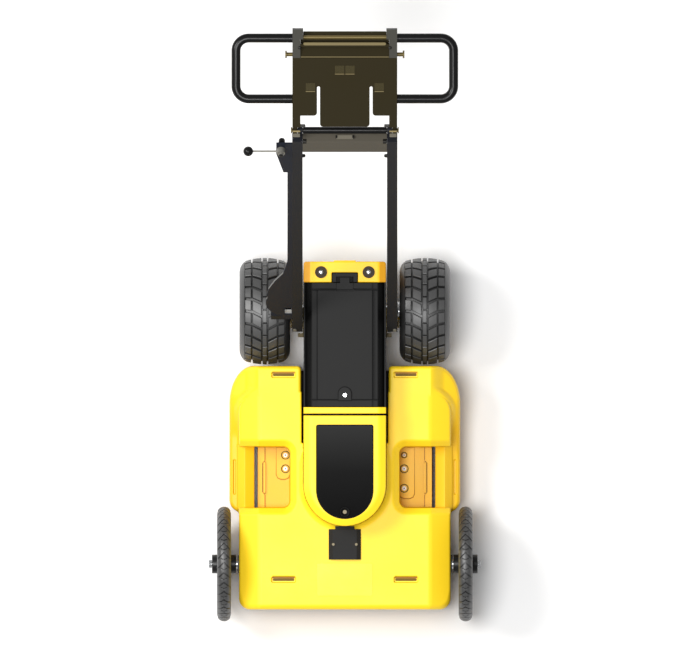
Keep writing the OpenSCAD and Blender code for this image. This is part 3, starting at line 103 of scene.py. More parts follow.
surface = bpy.data.node_groups.new("surface_drift", "ShaderNodeTree")
socketed(surface, "INPUT", Colour="Color", Drift="Float", Roughness="Float", Spread="Float", Grain="Float")
socketed(surface, "OUTPUT", Colour="Color", Roughness="Float", Height="Float")
taken = surface.nodes.new("NodeGroupInput")
given = surface.nodes.new("NodeGroupOutput")
where = surface.nodes.new("ShaderNodeTexCoord")
broad = surface.nodes.new("ShaderNodeTexNoise")
valued(broad, Scale=9.0, Detail=4.0)
fine = surface.nodes.new("ShaderNodeTexNoise")
valued(fine, Detail=3.0)
centred = math_node(surface, "MULTIPLY_ADD", 2.0, -1.0)
shade = math_node(surface, "MULTIPLY_ADD", None, 1.0)
tinted = surface.nodes.new("ShaderNodeHueSaturation")
both = math_node(surface, "ADD")
levelled = math_node(surface, "SUBTRACT", 1.0)
rough = math_node(surface, "MULTIPLY_ADD")
rough.use_clamp = True
wired(
    surface,
    (where.outputs["Object"], broad.inputs["Vector"]),
    (where.outputs["Object"], fine.inputs["Vector"]),
    (taken.outputs["Grain"], fine.inputs["Scale"]),
    (broad.outputs[0], centred.inputs[0]),
    (centred.outputs[0], shade.inputs[0]),
    (taken.outputs["Drift"], shade.inputs[1]),
    (taken.outputs["Colour"], tinted.inputs["Color"]),
    (shade.outputs[0], tinted.inputs["Value"]),
    (tinted.outputs[0], given.inputs["Colour"]),
    (broad.outputs[0], both.inputs[0]),
    (fine.outputs[0], both.inputs[1]),
    (both.outputs[0], levelled.inputs[0]),
    (levelled.outputs[0], rough.inputs[0]),
    (taken.outputs["Spread"], rough.inputs[1]),
    (taken.outputs["Roughness"], rough.inputs[2]),
    (rough.outputs[0], given.inputs["Roughness"]),
    (fine.outputs[0], given.inputs["Height"]),
)


def linear(hex_colour):
    """An sRGB hex colour as a linear RGBA tuple"""
    parts = [int(hex_colour[i:i + 2], 16) / 255 for i in (0, 2, 4)]
    return tuple(c / 12.92 if c <= 0.04045 else ((c + 0.055) / 1.055) ** 2.4 for c in parts) + (1.0,)


def finish(name, colour, roughness, drift=0.08, spread=0.15, grain=700.0, bump=0.0002, metal=0.0, shine=0.3):
    """A material whose colour, gloss and relief drift over the piece"""
    material = bpy.data.materials.new(name)
    material.use_nodes = True
    tree = material.node_tree
    shader = tree.nodes["Principled BSDF"]
    valued(shader, Metallic=metal, Specular_IOR_Level=shine)
    drifted = tree.nodes.new("ShaderNodeGroup")
    drifted.name = "drifted"
    drifted.node_tree = surface
    valued(drifted, Colour=linear(colour), Drift=drift, Roughness=roughness, Spread=spread, Grain=grain)
    relief = tree.nodes.new("ShaderNodeBump")
    valued(relief, Strength=0.5, Distance=bump)
    wired(
        tree,
        (drifted.outputs["Colour"], shader.inputs["Base Color"]),
        (drifted.outputs["Roughness"], shader.inputs["Roughness"]),
        (drifted.outputs["Height"], relief.inputs["Height"]),
        (relief.outputs["Normal"], shader.inputs["Normal"]),
    )
    return material


floor_shape = bmesh.new()
bmesh.ops.create_grid(floor_shape, x_segments=8, y_segments=8, size=24.0)
floor_mesh = bpy.data.meshes.new("floor")
floor_shape.to_mesh(floor_mesh)
floor_shape.free()
floor_mesh.materials.append(finish("floor_paper", "F4F4F4", 0.9, drift=0.004, grain=60.0))
floor = bpy.data.objects.new("floor", floor_mesh)
scene.collection.objects.link(floor)

# Spine tub
# The black injection-moulded tub down the middle of the cart. It holds the battery, carries the
# axle and takes the handle's pivots; its moulded edges are softly rounded.
moulded_black = finish("moulded_black", "1F1F1F", 0.6, grain=900.0, bump=0.0004, shine=0.1)


def placed(name, mesh, material, slot, body, *nodes):
    """A finished piece on its body, in place of the CAD nodes it stands for"""
    mesh.materials.clear()
    mesh.materials.append(material)
    thing = bpy.data.objects.new(name, mesh)
    scene.collection.objects.link(thing)
    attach(thing, body)
    if nodes:
        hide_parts(*nodes)
    return thing


def softened(thing, width, segments, angle):
    """Rounds the edges of a piece that are sharper than an angle in degrees"""
    bevel = thing.modifiers.new("edge", "BEVEL")
    bevel.width = width
    bevel.segments = segments
    bevel.limit_method = "ANGLE"
    bevel.angle_limit = math.radians(angle)
    bevel.use_clamp_overlap = True


def refined(node, material, slot, body="chassis", edge=0.0008, segments=2):
    """A CAD node with its sharp edges rounded and its round faces shaded smooth"""
    crease = 28
    shape = bmesh.new()
    shape.from_mesh(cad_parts[node].data)
    bmesh.ops.remove_doubles(shape, verts=shape.verts, dist=2e-6)
    bmesh.ops.dissolve_limit(shape, angle_limit=math.radians(0.4), verts=shape.verts, edges=shape.edges)
    for face in shape.faces:
        face.smooth = True
    mesh = bpy.data.meshes.new(node + "_look")
    shape.to_mesh(mesh)
    shape.free()
    mesh.set_sharp_from_angle(angle=math.radians(crease))
    thing = placed(node + "_look", mesh, material, slot, body, node)
    if edge:
        softened(thing, edge, segments, crease)
        even = thing.modifiers.new("even", "WEIGHTED_NORMAL")
        even.keep_sharp = True
    return thing


refined("spine_tub", moulded_black, "black_plastic", edge=0.0015)

# Rear axle
# A plain steel shaft fixed across the tub, with spacer tubes and lock nuts at its ends. It stands still
# and the wheels turn on it.
bright_steel = finish("bright_steel", "C8CACB", 0.28, drift=0.05, metal=1.0, grain=300.0, bump=0.0001)
refined("rear_axle", bright_steel, "steel", edge=0.0006)
refined("axle_spacers", bright_steel, "steel", edge=0.0004)
refined("axle_nuts", bright_steel, "steel", edge=0.0003)

# Rear wheels
# Broad low-pressure tyres on pressed rims, turning on sealed bearings. The tread has two shoulder
# rows, two slanted rows and a staggered middle rib, moulded twenty-five pitches round.
rear_rubber = finish(
    "rear_rubber", "363636", 0.47, drift=0.12, spread=0.08, grain=1200.0, bump=0.0001, shine=1.0)
rim_paint = finish("rim_paint", "8D9092", 0.38, metal=0.8, grain=500.0)
bearing_steel = finish("bearing_steel", "A9ABAC", 0.3, metal=1.0, grain=400.0, bump=0.0001)


def ramped(material, value, *colours):
    """Colours a material by a value from 0 to 1, through the colours in equal steps"""
    tree = material.node_tree
    ramp = tree.nodes.new("ShaderNodeValToRGB")
    stops = ramp.color_ramp.elements
    for i in range(1, len(colours) - 1):
        stops.new(i / (len(colours) - 1))
    for stop, colour in zip(stops, colours):
        stop.color = linear(colour)
    wired(tree, (value, ramp.inputs[0]), (ramp.outputs[0], tree.nodes["drifted"].inputs["Colour"]))


def depth_shaded(material, groove, crown):
    """Colours a rubber by a value on its mesh, as painted shade from the dark groove bottoms up to the tread
    top
    """
    wear = material.node_tree.nodes.new("ShaderNodeAttribute")
    wear.attribute_name = "wear"
    ramped(material, wear.outputs["Fac"], groove, crown)


def repeating(name, **inputs):
    """A Geometry Nodes tree with a copy of a piece on each point of a line, as one painted mesh"""
    tree = bpy.data.node_groups.new(name, "GeometryNodeTree")
    socketed(tree, "OUTPUT", Geometry="Geometry")
    socketed(tree, "INPUT", Piece="Object", Count="Int", Material="Material", **inputs)
    taken = tree.nodes.new("NodeGroupInput")
    given = tree.nodes.new("NodeGroupOutput")
    line = tree.nodes.new("GeometryNodeMeshLine")
    source = tree.nodes.new("GeometryNodeObjectInfo")
    copies = tree.nodes.new("GeometryNodeInstanceOnPoints")
    plain = tree.nodes.new("GeometryNodeRealizeInstances")
    painted = tree.nodes.new("GeometryNodeSetMaterial")
    wired(
        tree,
        (taken.outputs["Count"], line.inputs["Count"]),
        (taken.outputs["Piece"], source.inputs["Object"]),
        (line.outputs[0], copies.inputs["Points"]),
        (source.outputs["Geometry"], copies.inputs["Instance"]),
        (copies.outputs[0], plain.inputs[0]),
        (plain.outputs[0], painted.inputs["Geometry"]),
        (taken.outputs["Material"], painted.inputs["Material"]),
        (painted.outputs[0], given.inputs["Geometry"]),
    )
    return tree, taken, line, copies


ring, taken, line, copies = repeating("ring")
valued(line, Offset=(0.0, 0.0, 0.0))
order = ring.nodes.new("GeometryNodeInputIndex")
share = math_node(ring, "DIVIDE")
angle = math_node(ring, "MULTIPLY", 2 * math.pi)
about_x = ring.nodes.new("ShaderNodeCombineXYZ")
turn = ring.nodes.new("FunctionNodeEulerToRotation")
wired(
    ring,
    (order.outputs[0], share.inputs[0]),
    (taken.outputs["Count"], share.inputs[1]),
    (share.outputs[0], angle.inputs[0]),
    (angle.outputs[0], about_x.inputs["X"]),
    (about_x.outputs[0], turn.inputs[0]),
    (turn.outputs[0], copies.inputs["Rotation"]),
)


def grown(tree, **inputs):
    """The plain mesh that a Geometry Nodes tree makes from its named inputs"""
    host = bpy.data.objects.new(tree.name, bpy.data.meshes.new(tree.name))
    scene.collection.objects.link(host)
    modifier = host.modifiers.new(tree.name, "NODES")
    modifier.node_group = tree
    for item in tree.interface.items_tree:
        if item.in_out == "INPUT":
            modifier[item.identifier] = inputs[item.name]
    mesh = bpy.data.meshes.new_from_object(host.evaluated_get(bpy.context.evaluated_depsgraph_get()))
    bpy.data.objects.remove(host)
    return mesh


def bridged(shape, loops, closed=False):
    """Adds the faces between neighbouring loops of points, and from the last to the first if closed"""
    for a, b in zip(loops, loops[1:] + loops[:1] if closed else loops[1:]):
        for i in range(len(a)):
            j = (i + 1) % len(a)
            shape.faces.new((a[i], b[i], b[j], a[j]))


def turned_piece(shape, profile, steps, place):
    """Adds a closed (radius, height) profile turned about the Z axis, put in place, as one skin"""
    loops = []
    for i in range(steps):
        angle = 2 * math.pi * i / steps
        points = [(r * math.cos(angle), r * math.sin(angle), h) for r, h in profile]
        loops.append([shape.verts.new(place @ Vector(point)) for point in points])
    bridged(shape, loops, closed=True)
    bmesh.ops.remove_doubles(shape, verts=shape.verts, dist=1e-6)


def carcass_of(half, steps):
    """The casing of a tyre about the axle from one half of its (radius, across) section"""
    shape = bmesh.new()
    section = half + [(r, -x) for r, x in reversed(half[1:-1])]
    turned_piece(shape, section, steps, Matrix.Rotation(math.radians(90), 4, "Y"))
    return shape


def tread_block(shape, corners, top, groove, radius, chamfer):
    """Adds one tread block. Corners are (across, along) pairs in metres and go round the block; top
    gives the outer radius at a place across the tyre, and the foot lies a groove's depth below it"""
    (ax, ay), (bx, by), (cx, cy), (dx, dy) = corners
    wide = math.hypot(bx - ax, by - ay)
    long = math.hypot(dx - ax, dy - ay)
    flare = 0.0004
    steps = 3

    def point(spot, inset, level):
        u = inset / wide + spot[0] / steps * (1 - 2 * inset / wide)
        v = inset / long + spot[1] / steps * (1 - 2 * inset / long)
        across = (1 - v) * ((1 - u) * ax + u * bx) + v * ((1 - u) * dx + u * cx)
        along = (1 - v) * ((1 - u) * ay + u * by) + v * ((1 - u) * dy + u * cy)
        r = level(across)
        return shape.verts.new((across, r * math.sin(along / radius), r * math.cos(along / radius)))

    rim = [(i, 0) for i in range(steps)] + [(steps, i) for i in range(steps)]
    rim += [(steps - i, steps) for i in range(steps)] + [(0, steps - i) for i in range(steps)]
    spots = [(i, j) for i in range(steps + 1) for j in range(steps + 1)]
    crown = {spot: point(spot, chamfer, top) for spot in spots}
    for i in range(steps):
        for j in range(steps):
            shape.faces.new((crown[i, j], crown[i + 1, j], crown[i + 1, j + 1], crown[i, j + 1]))
    brow = [point(spot, 0, lambda x: top(x) - chamfer) for spot in rim]
    foot = [point(spot, -flare, lambda x: top(x) - groove) for spot in rim]
    bridged(shape, [[crown[spot] for spot in rim], brow, foot])
    shape.faces.new(list(reversed(foot)))


def as_mesh(shape, name, crease):
    """A bmesh as a mesh with outward faces, smooth where they meet at less than the crease angle"""
    bmesh.ops.recalc_face_normals(shape, faces=shape.faces)
    for face in shape.faces:
        face.smooth = True
    mesh = bpy.data.meshes.new(name)
    shape.to_mesh(mesh)
    shape.free()
    mesh.set_sharp_from_angle(angle=math.radians(crease))
    return mesh


def tyre_mesh(name, carcass, pitch, count, rubber, top, half_width, depth, flank):
    """A tyre about the origin: its carcass with one tread pitch repeated round it, and a painted shade value
    of its mesh: falling with depth below the tread top, and flank on the side walls"""
    mould = bpy.data.objects.new(name + "_pitch", as_mesh(pitch, name + "_pitch", 25))
    scene.collection.objects.link(mould)
    lugs = grown(ring, Piece=mould, Count=count, Material=rubber)
    bpy.data.objects.remove(mould)
    joined = bmesh.new()
    joined.from_mesh(as_mesh(carcass, name + "_carcass", 40))
    joined.from_mesh(lugs)
    mesh = bpy.data.meshes.new(name)
    joined.to_mesh(mesh)
    joined.free()
    wear = mesh.attributes.new("wear", "FLOAT", "POINT")
    for vertex, value in zip(mesh.vertices, wear.data):
        x, y, z = vertex.co
        if abs(x) < half_width:
            value.value = 1 - min(max((top(x) - math.hypot(y, z)) / depth, 0), 1)
        else:
            value.value = flank
    return mesh


def wheel_pair(end, tyre, rubber, centre, middle, paint, slot):
    """Puts a tyre, its rim or hub and its bearings on both wheels of one end of the cart"""
    x, y, z = centre
    for hand, side in ((-1, "left"), (1, "right")):
        wheel = f"{end}_{side}_wheel"
        mesh = tyre.copy()
        mesh.transform(Matrix.Translation((hand * x, y, z)))
        placed(f"{end}_{side}_tyre_look", mesh, rubber, "tyre_rubber", wheel, f"{end}_{side}_tyre")
        refined(f"{end}_{side}_{middle}", paint, slot, wheel)
        refined(f"{end}_{side}_bearings", bearing_steel, "steel", wheel, edge=0.0003)


rear_radius = 0.133
rear_crown = 3.3
rear_groove = 0.0085
rear_chamfer = 0.0011
rear_pitches = 25
rear_pitch = 2 * math.pi * rear_radius / rear_pitches
rear_centre = (0.2, 0.034, rear_radius)


def rear_top(x):
    """The tread's radius at a place across the tyre"""
    return rear_radius - rear_crown * x * x


# Painted shade: the rubber darkens towards the groove bottoms, and the side walls are held partway dark.
depth_shaded(rear_rubber, "060606", "2E2E2E")
bed = 0.0002
half = [(rear_top(x) - rear_groove + bed, x) for x in (0.0, 0.012, 0.024, 0.036, 0.0480)]
half += [
    (0.1190, 0.0496), (0.1231, 0.0500), (0.1236, 0.0508), (0.1206, 0.0538), (0.1160, 0.0574),
    (0.1105, 0.0604), (0.1045, 0.0624), (0.0980, 0.0633), (0.0915, 0.0628), (0.0855, 0.0608),
    (0.0805, 0.0580), (0.0770, 0.0560), (0.0735, 0.0560), (0.0733, 0.0440), (0.0800, 0.0440),
    (0.1000, 0.0300), (0.1080, 0.0),
]
shoulder = [
    (0.0343, 0.0020), (0.0494, 0.0040), (0.0494, rear_pitch - 0.0029), (0.0343, rear_pitch - 0.0049)]
slant = [
    (0.0304, 0.0016), (0.0087, -0.0096), (0.0087, rear_pitch - 0.0172), (0.0304, rear_pitch - 0.0060)]
rib_half = 0.0053
rib_start = 0.5 * rear_pitch - 0.0119
rib_end = 1.5 * rear_pitch - 0.0151
rib = [(-rib_half, rib_start), (rib_half, rib_start), (rib_half, rib_end), (-rib_half, rib_end)]
pitch = bmesh.new()
for hand in (-1, 1):
    for block in (shoulder, slant):
        corners = [(hand * x, y) for x, y in block]
        tread_block(pitch, corners, rear_top, rear_groove, rear_radius, rear_chamfer)
tread_block(pitch, rib, rear_top, rear_groove, rear_radius, rear_chamfer)
rear_tyre = tyre_mesh(
    "rear_tyre", carcass_of(half, 100), pitch, rear_pitches, rear_rubber, rear_top,
    half_width=0.0497, depth=0.006, flank=0.6)
wheel_pair("rear", rear_tyre, rear_rubber, rear_centre, "rim", rim_paint, "rim_metal")

# Antenna body
# One roto-moulded yellow body: a flat nose, two side wings with hand pockets and outer flanges. Its
# form is a distance field in millimetres, meshed once and drawn onto the field.
yellow = finish("yellow_plastic", "F9D321", 0.42, drift=0.03, spread=0.12, grain=1400.0, bump=0.0003)


def graded(material, axis, start, end, *colours, mirrored=False):
    """Colours a piece by its place on an axis, or by its distance from the middle if mirrored"""
    tree = material.node_tree
    where = tree.nodes.new("ShaderNodeTexCoord")
    parts = tree.nodes.new("ShaderNodeSeparateXYZ")
    along = tree.nodes.new("ShaderNodeMapRange")
    valued(along, From_Min=start, From_Max=end)
    measure = parts.outputs[axis]
    if mirrored:
        distance = math_node(tree, "ABSOLUTE")
        wired(tree, (measure, distance.inputs[0]))
        measure = distance.outputs[0]
    wired(tree, (where.outputs["Object"], parts.inputs[0]), (measure, along.inputs["Value"]))
    ramped(material, along.outputs[0], *colours)


# Painted shade: the yellow turns a deeper orange lower down, from 210 mm to 100 mm up, for the shade in the
# hand pockets and on the low flanges.
graded(yellow, "Z", 0.10, 0.21, "E2AC15", "F9D321")


def both_r(a, b, r):
    """Where both shapes are, with an edge of radius r"""
    return np.minimum(np.maximum(a, b), -r) + np.hypot(np.maximum(a + r, 0), np.maximum(b + r, 0))


def either_r(a, b, r):
    """Where one shape or the other is, with a cove of radius r"""
    return np.maximum(np.minimum(a, b), r) - np.hypot(np.maximum(r - a, 0), np.maximum(r - b, 0))


def eased(value, start, end):
    """A smooth step from 0 at start to 1 at end"""
    t = np.clip((value - start) / (end - start), 0, 1)
    return t * t * (3 - 2 * t)


def slab(x, y, half_x, half_y, r):
    """A rounded rectangle about the origin"""
    a = np.abs(x) - half_x + r
    b = np.abs(y) - half_y + r
    return np.hypot(np.maximum(a, 0), np.maximum(b, 0)) + np.minimum(np.maximum(a, b), 0) - r


deck_z = 215
brow_x = 214
nose_x, nose_rear, nose_front = 264.5, -166, -712
wing_x, wing_rear, wing_front = 288.5, -103, -468
turn_x, turn_y = 60, 95
pocket_y, pocket_half, pocket_floor = -381, 77, 110
grip_x, grip_z = 249, 150
spine_x = 108
cover_x, cover_y = 103, -400
slot_x, slot_ys = 153, (-125, -637)


def antenna_field(x, y, z):
    """The signed distance to the body, about, in millimetres"""
    side = np.abs(x)
    lean = math.radians(26)
    slope_z = deck_z - np.maximum(side - brow_x, 0) * math.tan(lean)
    top = both_r(z - deck_z, (side - brow_x) * math.sin(lean) + (z - deck_z) * math.cos(lean), 3)
    plan = np.maximum(both_r(side - nose_x, y - nose_rear, 53), both_r(side - nose_x, nose_front - y, 28))
    brink = 5 + 9 * eased(-y, 660, 705)
    tier = both_r(plan, top, brink)
    corner_x = (side - wing_x + turn_x) / turn_x
    corner_y = (y - wing_rear + turn_y) / turn_y
    bow = (np.hypot(np.maximum(corner_x, 0), np.maximum(corner_y, 0)) - 1) * 70
    straight = np.maximum(side - wing_x, y - wing_rear)
    outline = np.where((corner_x > 0) & (corner_y > 0), bow, straight)
    outline = np.maximum(outline, both_r(side - wing_x, wing_front - y, 30))
    inner = np.maximum(outline, both_r(spine_x - side, y - wing_rear, 11))
    outline = np.where(y > -180, inner, outline)
    fall = eased(-y, 172, 285)
    flange_z = slope_z * (1 - fall) + (128 - 0.15 * (side - 265)) * fall
    flange_z = flange_z - 16 * eased(plan, 0, 16) * eased(side, 216, 250) * (1 - fall)
    flange = both_r(outline, (z - flange_z) * 0.82, 9)
    hollow = both_r(136 - side, np.abs(y - pocket_y) - pocket_half, 18)
    level = z - (slope_z - 15)
    cut = np.maximum(pocket_floor - z, np.minimum(hollow, (hollow - level) / math.sqrt(2)))
    tier = both_r(tier, -cut, 2.5)
    flange = both_r(flange, -np.maximum(cut, side - 226), 2)
    inner_slope = (z - grip_z + (grip_x - side) * 0.52) * 0.88
    outer_slope = (z - grip_z + (side - grip_x) * 0.81) * 0.78
    ridge = np.maximum(np.maximum(inner_slope, outer_slope), np.abs(y - pocket_y) - 80)
    grip = np.maximum(ridge, np.maximum(226 - side, side - 268))
    body = either_r(tier, flange, 0.1 + 7 * eased(-y, 195, 250))
    body = either_r(body, grip, 3)
    body = both_r(body, 20 - z, 6)
    body = both_r(body, -np.maximum(np.abs(side - 222) - 4, np.abs(y - pocket_y) - 76), 1.5)
    cover = np.where(y > cover_y, side - cover_x, np.hypot(side, y - cover_y) - cover_x)
    skirt = 17 * eased(-y, 300, 345)
    body = either_r(body, np.maximum(cover, z - 280), np.maximum(skirt, 0.1))
    body = np.maximum(body, -np.maximum(cover - 0.4, deck_z - 0.5 - z))
    under = np.where(y > cover_y + 2, -1000.0, z - deck_z - 0.3)
    body = both_r(body, -np.maximum(np.maximum(side - cover_x - 0.4, -440 - y), under), 1.5)
    body = both_r(body, -np.maximum(side - spine_x, -295 - y), 4)
    for slot_y in slot_ys:
        recess = np.maximum(slab(side - slot_x, y - slot_y, 29.5, 7.3, 3), deck_z - 6 - z)
        body = both_r(body, -recess, 1.2)
    groove = np.maximum(slab(side - 276, y + 380.5, 3, 43.5, 3), 123.5 - z)
    return both_r(body, -groove, 1)


def field_mesh(name, field, low, high, voxel, ratio):
    """A closed mesh of a field that is the same on both sides, with normals from the field"""
    steps = [int(round((b - a) / voxel)) + 1 for a, b in zip(low, high)]
    xs, ys, zs = (a + voxel * np.arange(n) for a, n in zip(low, steps))
    right = xs >= -1e-6
    part = field(xs[right][:, None, None], ys[None, :, None], zs[None, None, :])
    values = np.concatenate([part[:0:-1], part]).astype(np.float32)
    grid = openvdb.FloatGrid(3 * voxel)
    grid.copyFromArray(np.clip(values, -3 * voxel, 3 * voxel))
    verts, quads = grid.convertToQuads(0.0)
    verts = verts * voxel + np.array(low)
    mesh = bpy.data.meshes.new(name)
    mesh.from_pydata((verts / 1000).tolist(), [], quads.tolist())
    host = bpy.data.objects.new(name, mesh)
    scene.collection.objects.link(host)
    fewer = host.modifiers.new("fewer", "DECIMATE")
    fewer.ratio = ratio
    light = bpy.data.meshes.new_from_object(host.evaluated_get(bpy.context.evaluated_depsgraph_get()))
    bpy.data.objects.remove(host)
    bpy.data.meshes.remove(mesh)
    flat = np.empty(len(light.vertices) * 3)
    light.vertices.foreach_get("co", flat)
    spot = flat.reshape(-1, 3) * 1000
    tick = 0.25
    reach = 1.2
    for turn_no in range(4):
        rises = [field(*(spot + tick * axis).T) - field(*(spot - tick * axis).T) for axis in np.eye(3)]
        slope = np.stack(rises, 1) / (2 * tick)
        if turn_no < 3:
            size = np.maximum((slope ** 2).sum(1), 0.2)
            step = (field(*spot.T) / size)[:, None] * slope
            spot = spot - np.clip(step, -reach, reach)
    light.vertices.foreach_set("co", (spot / 1000).ravel())
    light.update()
    light.polygons.foreach_set("use_smooth", [True] * len(light.polygons))
    slope /= np.maximum(np.linalg.norm(slope, axis=1), 1e-6)[:, None]
    light.normals_split_custom_set_from_vertices(slope.tolist())
    return light


body_mesh = field_mesh("antenna_body", antenna_field, (-300, -722.5, 10), (300, -92.5, 292.5), 2.5, 0.42)
placed("antenna_body", body_mesh, yellow, "yellow_plastic", "chassis", "nose_shell", "left_pod", "right_pod")

# Fittings of the antenna body
# The skid pan under it, the boards inside, sockets in the hand pockets and the bare label plate: plastic
# mouldings, shielded boards and a film, with the edges of the outer ones lightly rounded.
skid_black = finish("skid_black", "1E1E1E", 0.6, grain=500.0, bump=0.0006)
board_grey = finish("board_grey", "5A5D5E", 0.5)
socket_white = finish("socket_white", "E4E4E0", 0.35, drift=0.04)
label_film = finish("label_film", "F9D321", 0.38, drift=0.03, grain=1400.0)
refined("skid_pan", skid_black, "black_plastic", edge=0.001)
refined("low_band_antenna", board_grey, "shield_metal", edge=0)
refined("high_band_antenna", board_grey, "shield_metal", edge=0)
refined("connectors", socket_white, "inner_plastic", edge=0.0005)
refined("label_plate", label_film, "yellow_plastic", edge=0.0004)

# Hand pocket floors
# Raised pads round the sockets and a ledge strip beside the grip slot, moulded with the body, each in
# a fine amber line of painted shade. A brown plate and an amber strip, both painted shade, lie at the
# bottom of each strap slot.
slit_brown = finish("slit_brown", "3B2C0C", 0.6, grain=800.0, bump=0.0003)
# Painted shade: the next two colours, brown for plates on the strap slot floors and amber for fine lines
# round the pads and along the slots.
slot_brown = finish("slot_brown", "665000", 0.6, grain=800.0, bump=0.0003)
seam_amber = finish("seam_amber", "96640E", 0.55, grain=800.0, bump=0.0003)
upright = Matrix.Identity(4)


def rounded_outline(across, along, r, steps=4):
    """The points of a rounded rectangle between two limits each way, anticlockwise"""
    x0, x1 = sorted(across)
    y0, y1 = along
    points = []
    for cx, cy, start in (
        (x1 - r, y1 - r, 0), (x0 + r, y1 - r, 90), (x0 + r, y0 + r, 180), (x1 - r, y0 + r, 270),
    ):
        for i in range(steps + 1):
            angle = math.radians(start + 90 * i / steps)
            points.append((cx + r * math.cos(angle), cy + r * math.sin(angle)))
    return points


def widened(outline, by):
    """An outline with its points moved away from its middle"""
    middle = Vector((sum(p[0] for p in outline), sum(p[1] for p in outline))) / len(outline)
    return [tuple(Vector(p) + (Vector(p) - middle).normalized() * by) for p in outline]


def slab_piece(shape, outline, low, high, edge=0.0006, place=upright):
    """Adds a flat piece of that outline with a chamfered upper edge, then put in place"""
    levels = ((outline, low), (outline, high - edge), (widened(outline, -edge), high))
    loops = [[shape.verts.new(place @ Vector((x, y, h))) for x, y in line] for line, h in levels]
    shape.faces.new(list(reversed(loops[0])))
    shape.faces.new(loops[2])
    bridged(shape, loops)


def plate(shape, across, along, upward, r, edge=0.0006, place=upright, steps=4):
    """Adds a flat piece with rounded corners between two limits on each axis"""
    slab_piece(shape, rounded_outline(across, along, r, steps), *upward, edge, place)


def made(name, shape, crease, material, slot, body, *nodes):
    """A bmesh as a finished piece on its body"""
    return placed(name, as_mesh(shape, name, crease), material, slot, body, *nodes)


floor_z = pocket_floor / 1000
crease_shade_top = 0.1134
crease_shade_width = 0.0018
corner, bite = 0.012, 0.0035
ledge_half = [
    (0.2175, -0.306), (0.2005, -0.306), (0.2005, -0.338), (0.2065, -0.345),
    (0.2065, -0.419), (0.2005, -0.426), (0.2005, -0.4565), (0.2175, -0.4565),
]
pads = bmesh.new()
crease_shades = bmesh.new()
slot_shades = bmesh.new()
for hand, (x0, x1), (y0, y1) in (
    (-1, (-0.171, -0.1375), (-0.386, -0.3065)),
    (1, (0.1365, 0.174), (-0.434, -0.3065)),
):
    pad = [
        (x0, y1), (x0, y0 + corner), (x0 + bite, y0 + bite), (x0 + corner, y0),
        (x1 - corner, y0), (x1 - bite, y0 + bite), (x1, y0 + corner), (x1, y1),
    ]
    slab_piece(pads, pad, floor_z, 0.1150, 0.001)
    slab_piece(crease_shades, widened(pad, crease_shade_width), floor_z, crease_shade_top, 0.0002)
    ledge = [(hand * x, y) for x, y in ledge_half]
    slab_piece(pads, ledge, floor_z, 0.1170, 0.001)
    slab_piece(crease_shades, [(x - hand * crease_shade_width, y) for x, y in ledge], floor_z, crease_shade_top, 0.0002)
    rib = rounded_outline((hand * 0.1985, hand * 0.2030), (-0.421, -0.343), 0.0021)
    slab_piece(pads, rib, floor_z, 0.1190, 0.0008)
    slab_piece(crease_shades, widened(rib, 0.0014), floor_z, 0.1183, 0.0002)
    for slot_y in slot_ys:
        x = hand * slot_x / 1000
        y = slot_y / 1000
        # Painted shade: a brown plate across the slot floor and an amber strip along its rear side.
        plate(slot_shades, (x - 0.0268, x + 0.0268), (y - 0.0034, y + 0.0028), (0.2086, 0.2098), 0.0028, 0.0003)
        plate(crease_shades, (x - 0.0285, x + 0.0285), (y + 0.0029, y + 0.0068), (0.2086, 0.2096), 0.0019, 0.0003)
made("pocket_pads", pads, 20, yellow, "yellow_plastic", "chassis")
made("pocket_seams", crease_shades, 20, seam_amber, "yellow_plastic", "chassis")
made("strap_slits", slot_shades, 20, slot_brown, "inner_plastic", "chassis")

# Front wheels
# Slim tyres of round section on black stepped hubs, on steel stub axles through the nose's sides.
# Each shoulder has slanted side grooves, with short angled grooves over the middle.
front_rubber = finish(
    "front_rubber", "363636", 0.46, drift=0.1, spread=0.08, grain=1500.0, bump=0.0001, shine=0.9)
# Painted shade: the rubber darkens towards the groove bottoms, and the side walls are held partway dark.
depth_shaded(front_rubber, "060606", "303030")
hub_black = finish("hub_black", "1B1B1B", 0.35, grain=600.0)
refined("stub_axles", bright_steel, "steel", edge=0.0004)
refined("odometer_rings", board_grey, "inner_plastic", edge=0)
front_radius = 0.1435
front_round = 0.0175
front_groove = 0.0034
front_chamfer = 0.0003
front_pitches = 36
front_pitch = 2 * math.pi * front_radius / front_pitches
front_centre = (0.302, -0.598, front_radius)


def front_top(x):
    """The tread's radius at a place across the tyre, a round section a little flattened"""
    return front_radius - front_round + math.sqrt(max(front_round ** 2 - x * x * 0.96, 0.0))


half = [(front_top(x) - front_groove, x) for x in (0.0, 0.004, 0.008, 0.0115, 0.0142)]
half += [
    (0.1300, 0.0156), (0.1297, 0.0165), (0.1268, 0.0173), (0.1225, 0.0174),
    (0.1185, 0.0166), (0.1155, 0.0150), (0.1130, 0.0110), (0.1120, 0.0),
]
cut, nick = 0.0019, 0.0011
mid, rim = 0.008, 0.0156
side_near, side_far, cut_near, nick_near, nick_far = -0.0045, -0.0120, 0.0035, 0.0105, 0.0145
outer = [
    (mid, side_near + cut), (rim, side_far + cut),
    (rim, front_pitch + side_far - cut), (mid, front_pitch + side_near - cut),
]
before = [(0.0, cut_near + cut), (mid, side_near + cut), (mid, nick_far - nick), (0.0, nick_near - nick)]
after = [
    (0.0, nick_near + nick), (mid, nick_far + nick),
    (mid, front_pitch + side_near - cut), (0.0, front_pitch + cut_near - cut),
]
pitch = bmesh.new()
for hand in (-1, 1):
    for block in (outer, before, after):
        corners = [(hand * x, y) for x, y in block]
        tread_block(pitch, corners, front_top, front_groove, front_radius, front_chamfer)
front_tyre = tyre_mesh(
    "front_tyre", carcass_of(half, 144), pitch, front_pitches, front_rubber, front_top,
    half_width=0.0157, depth=0.0026, flank=0.6)
wheel_pair("front", front_tyre, front_rubber, front_centre, "hub", hub_black, "black_plastic")

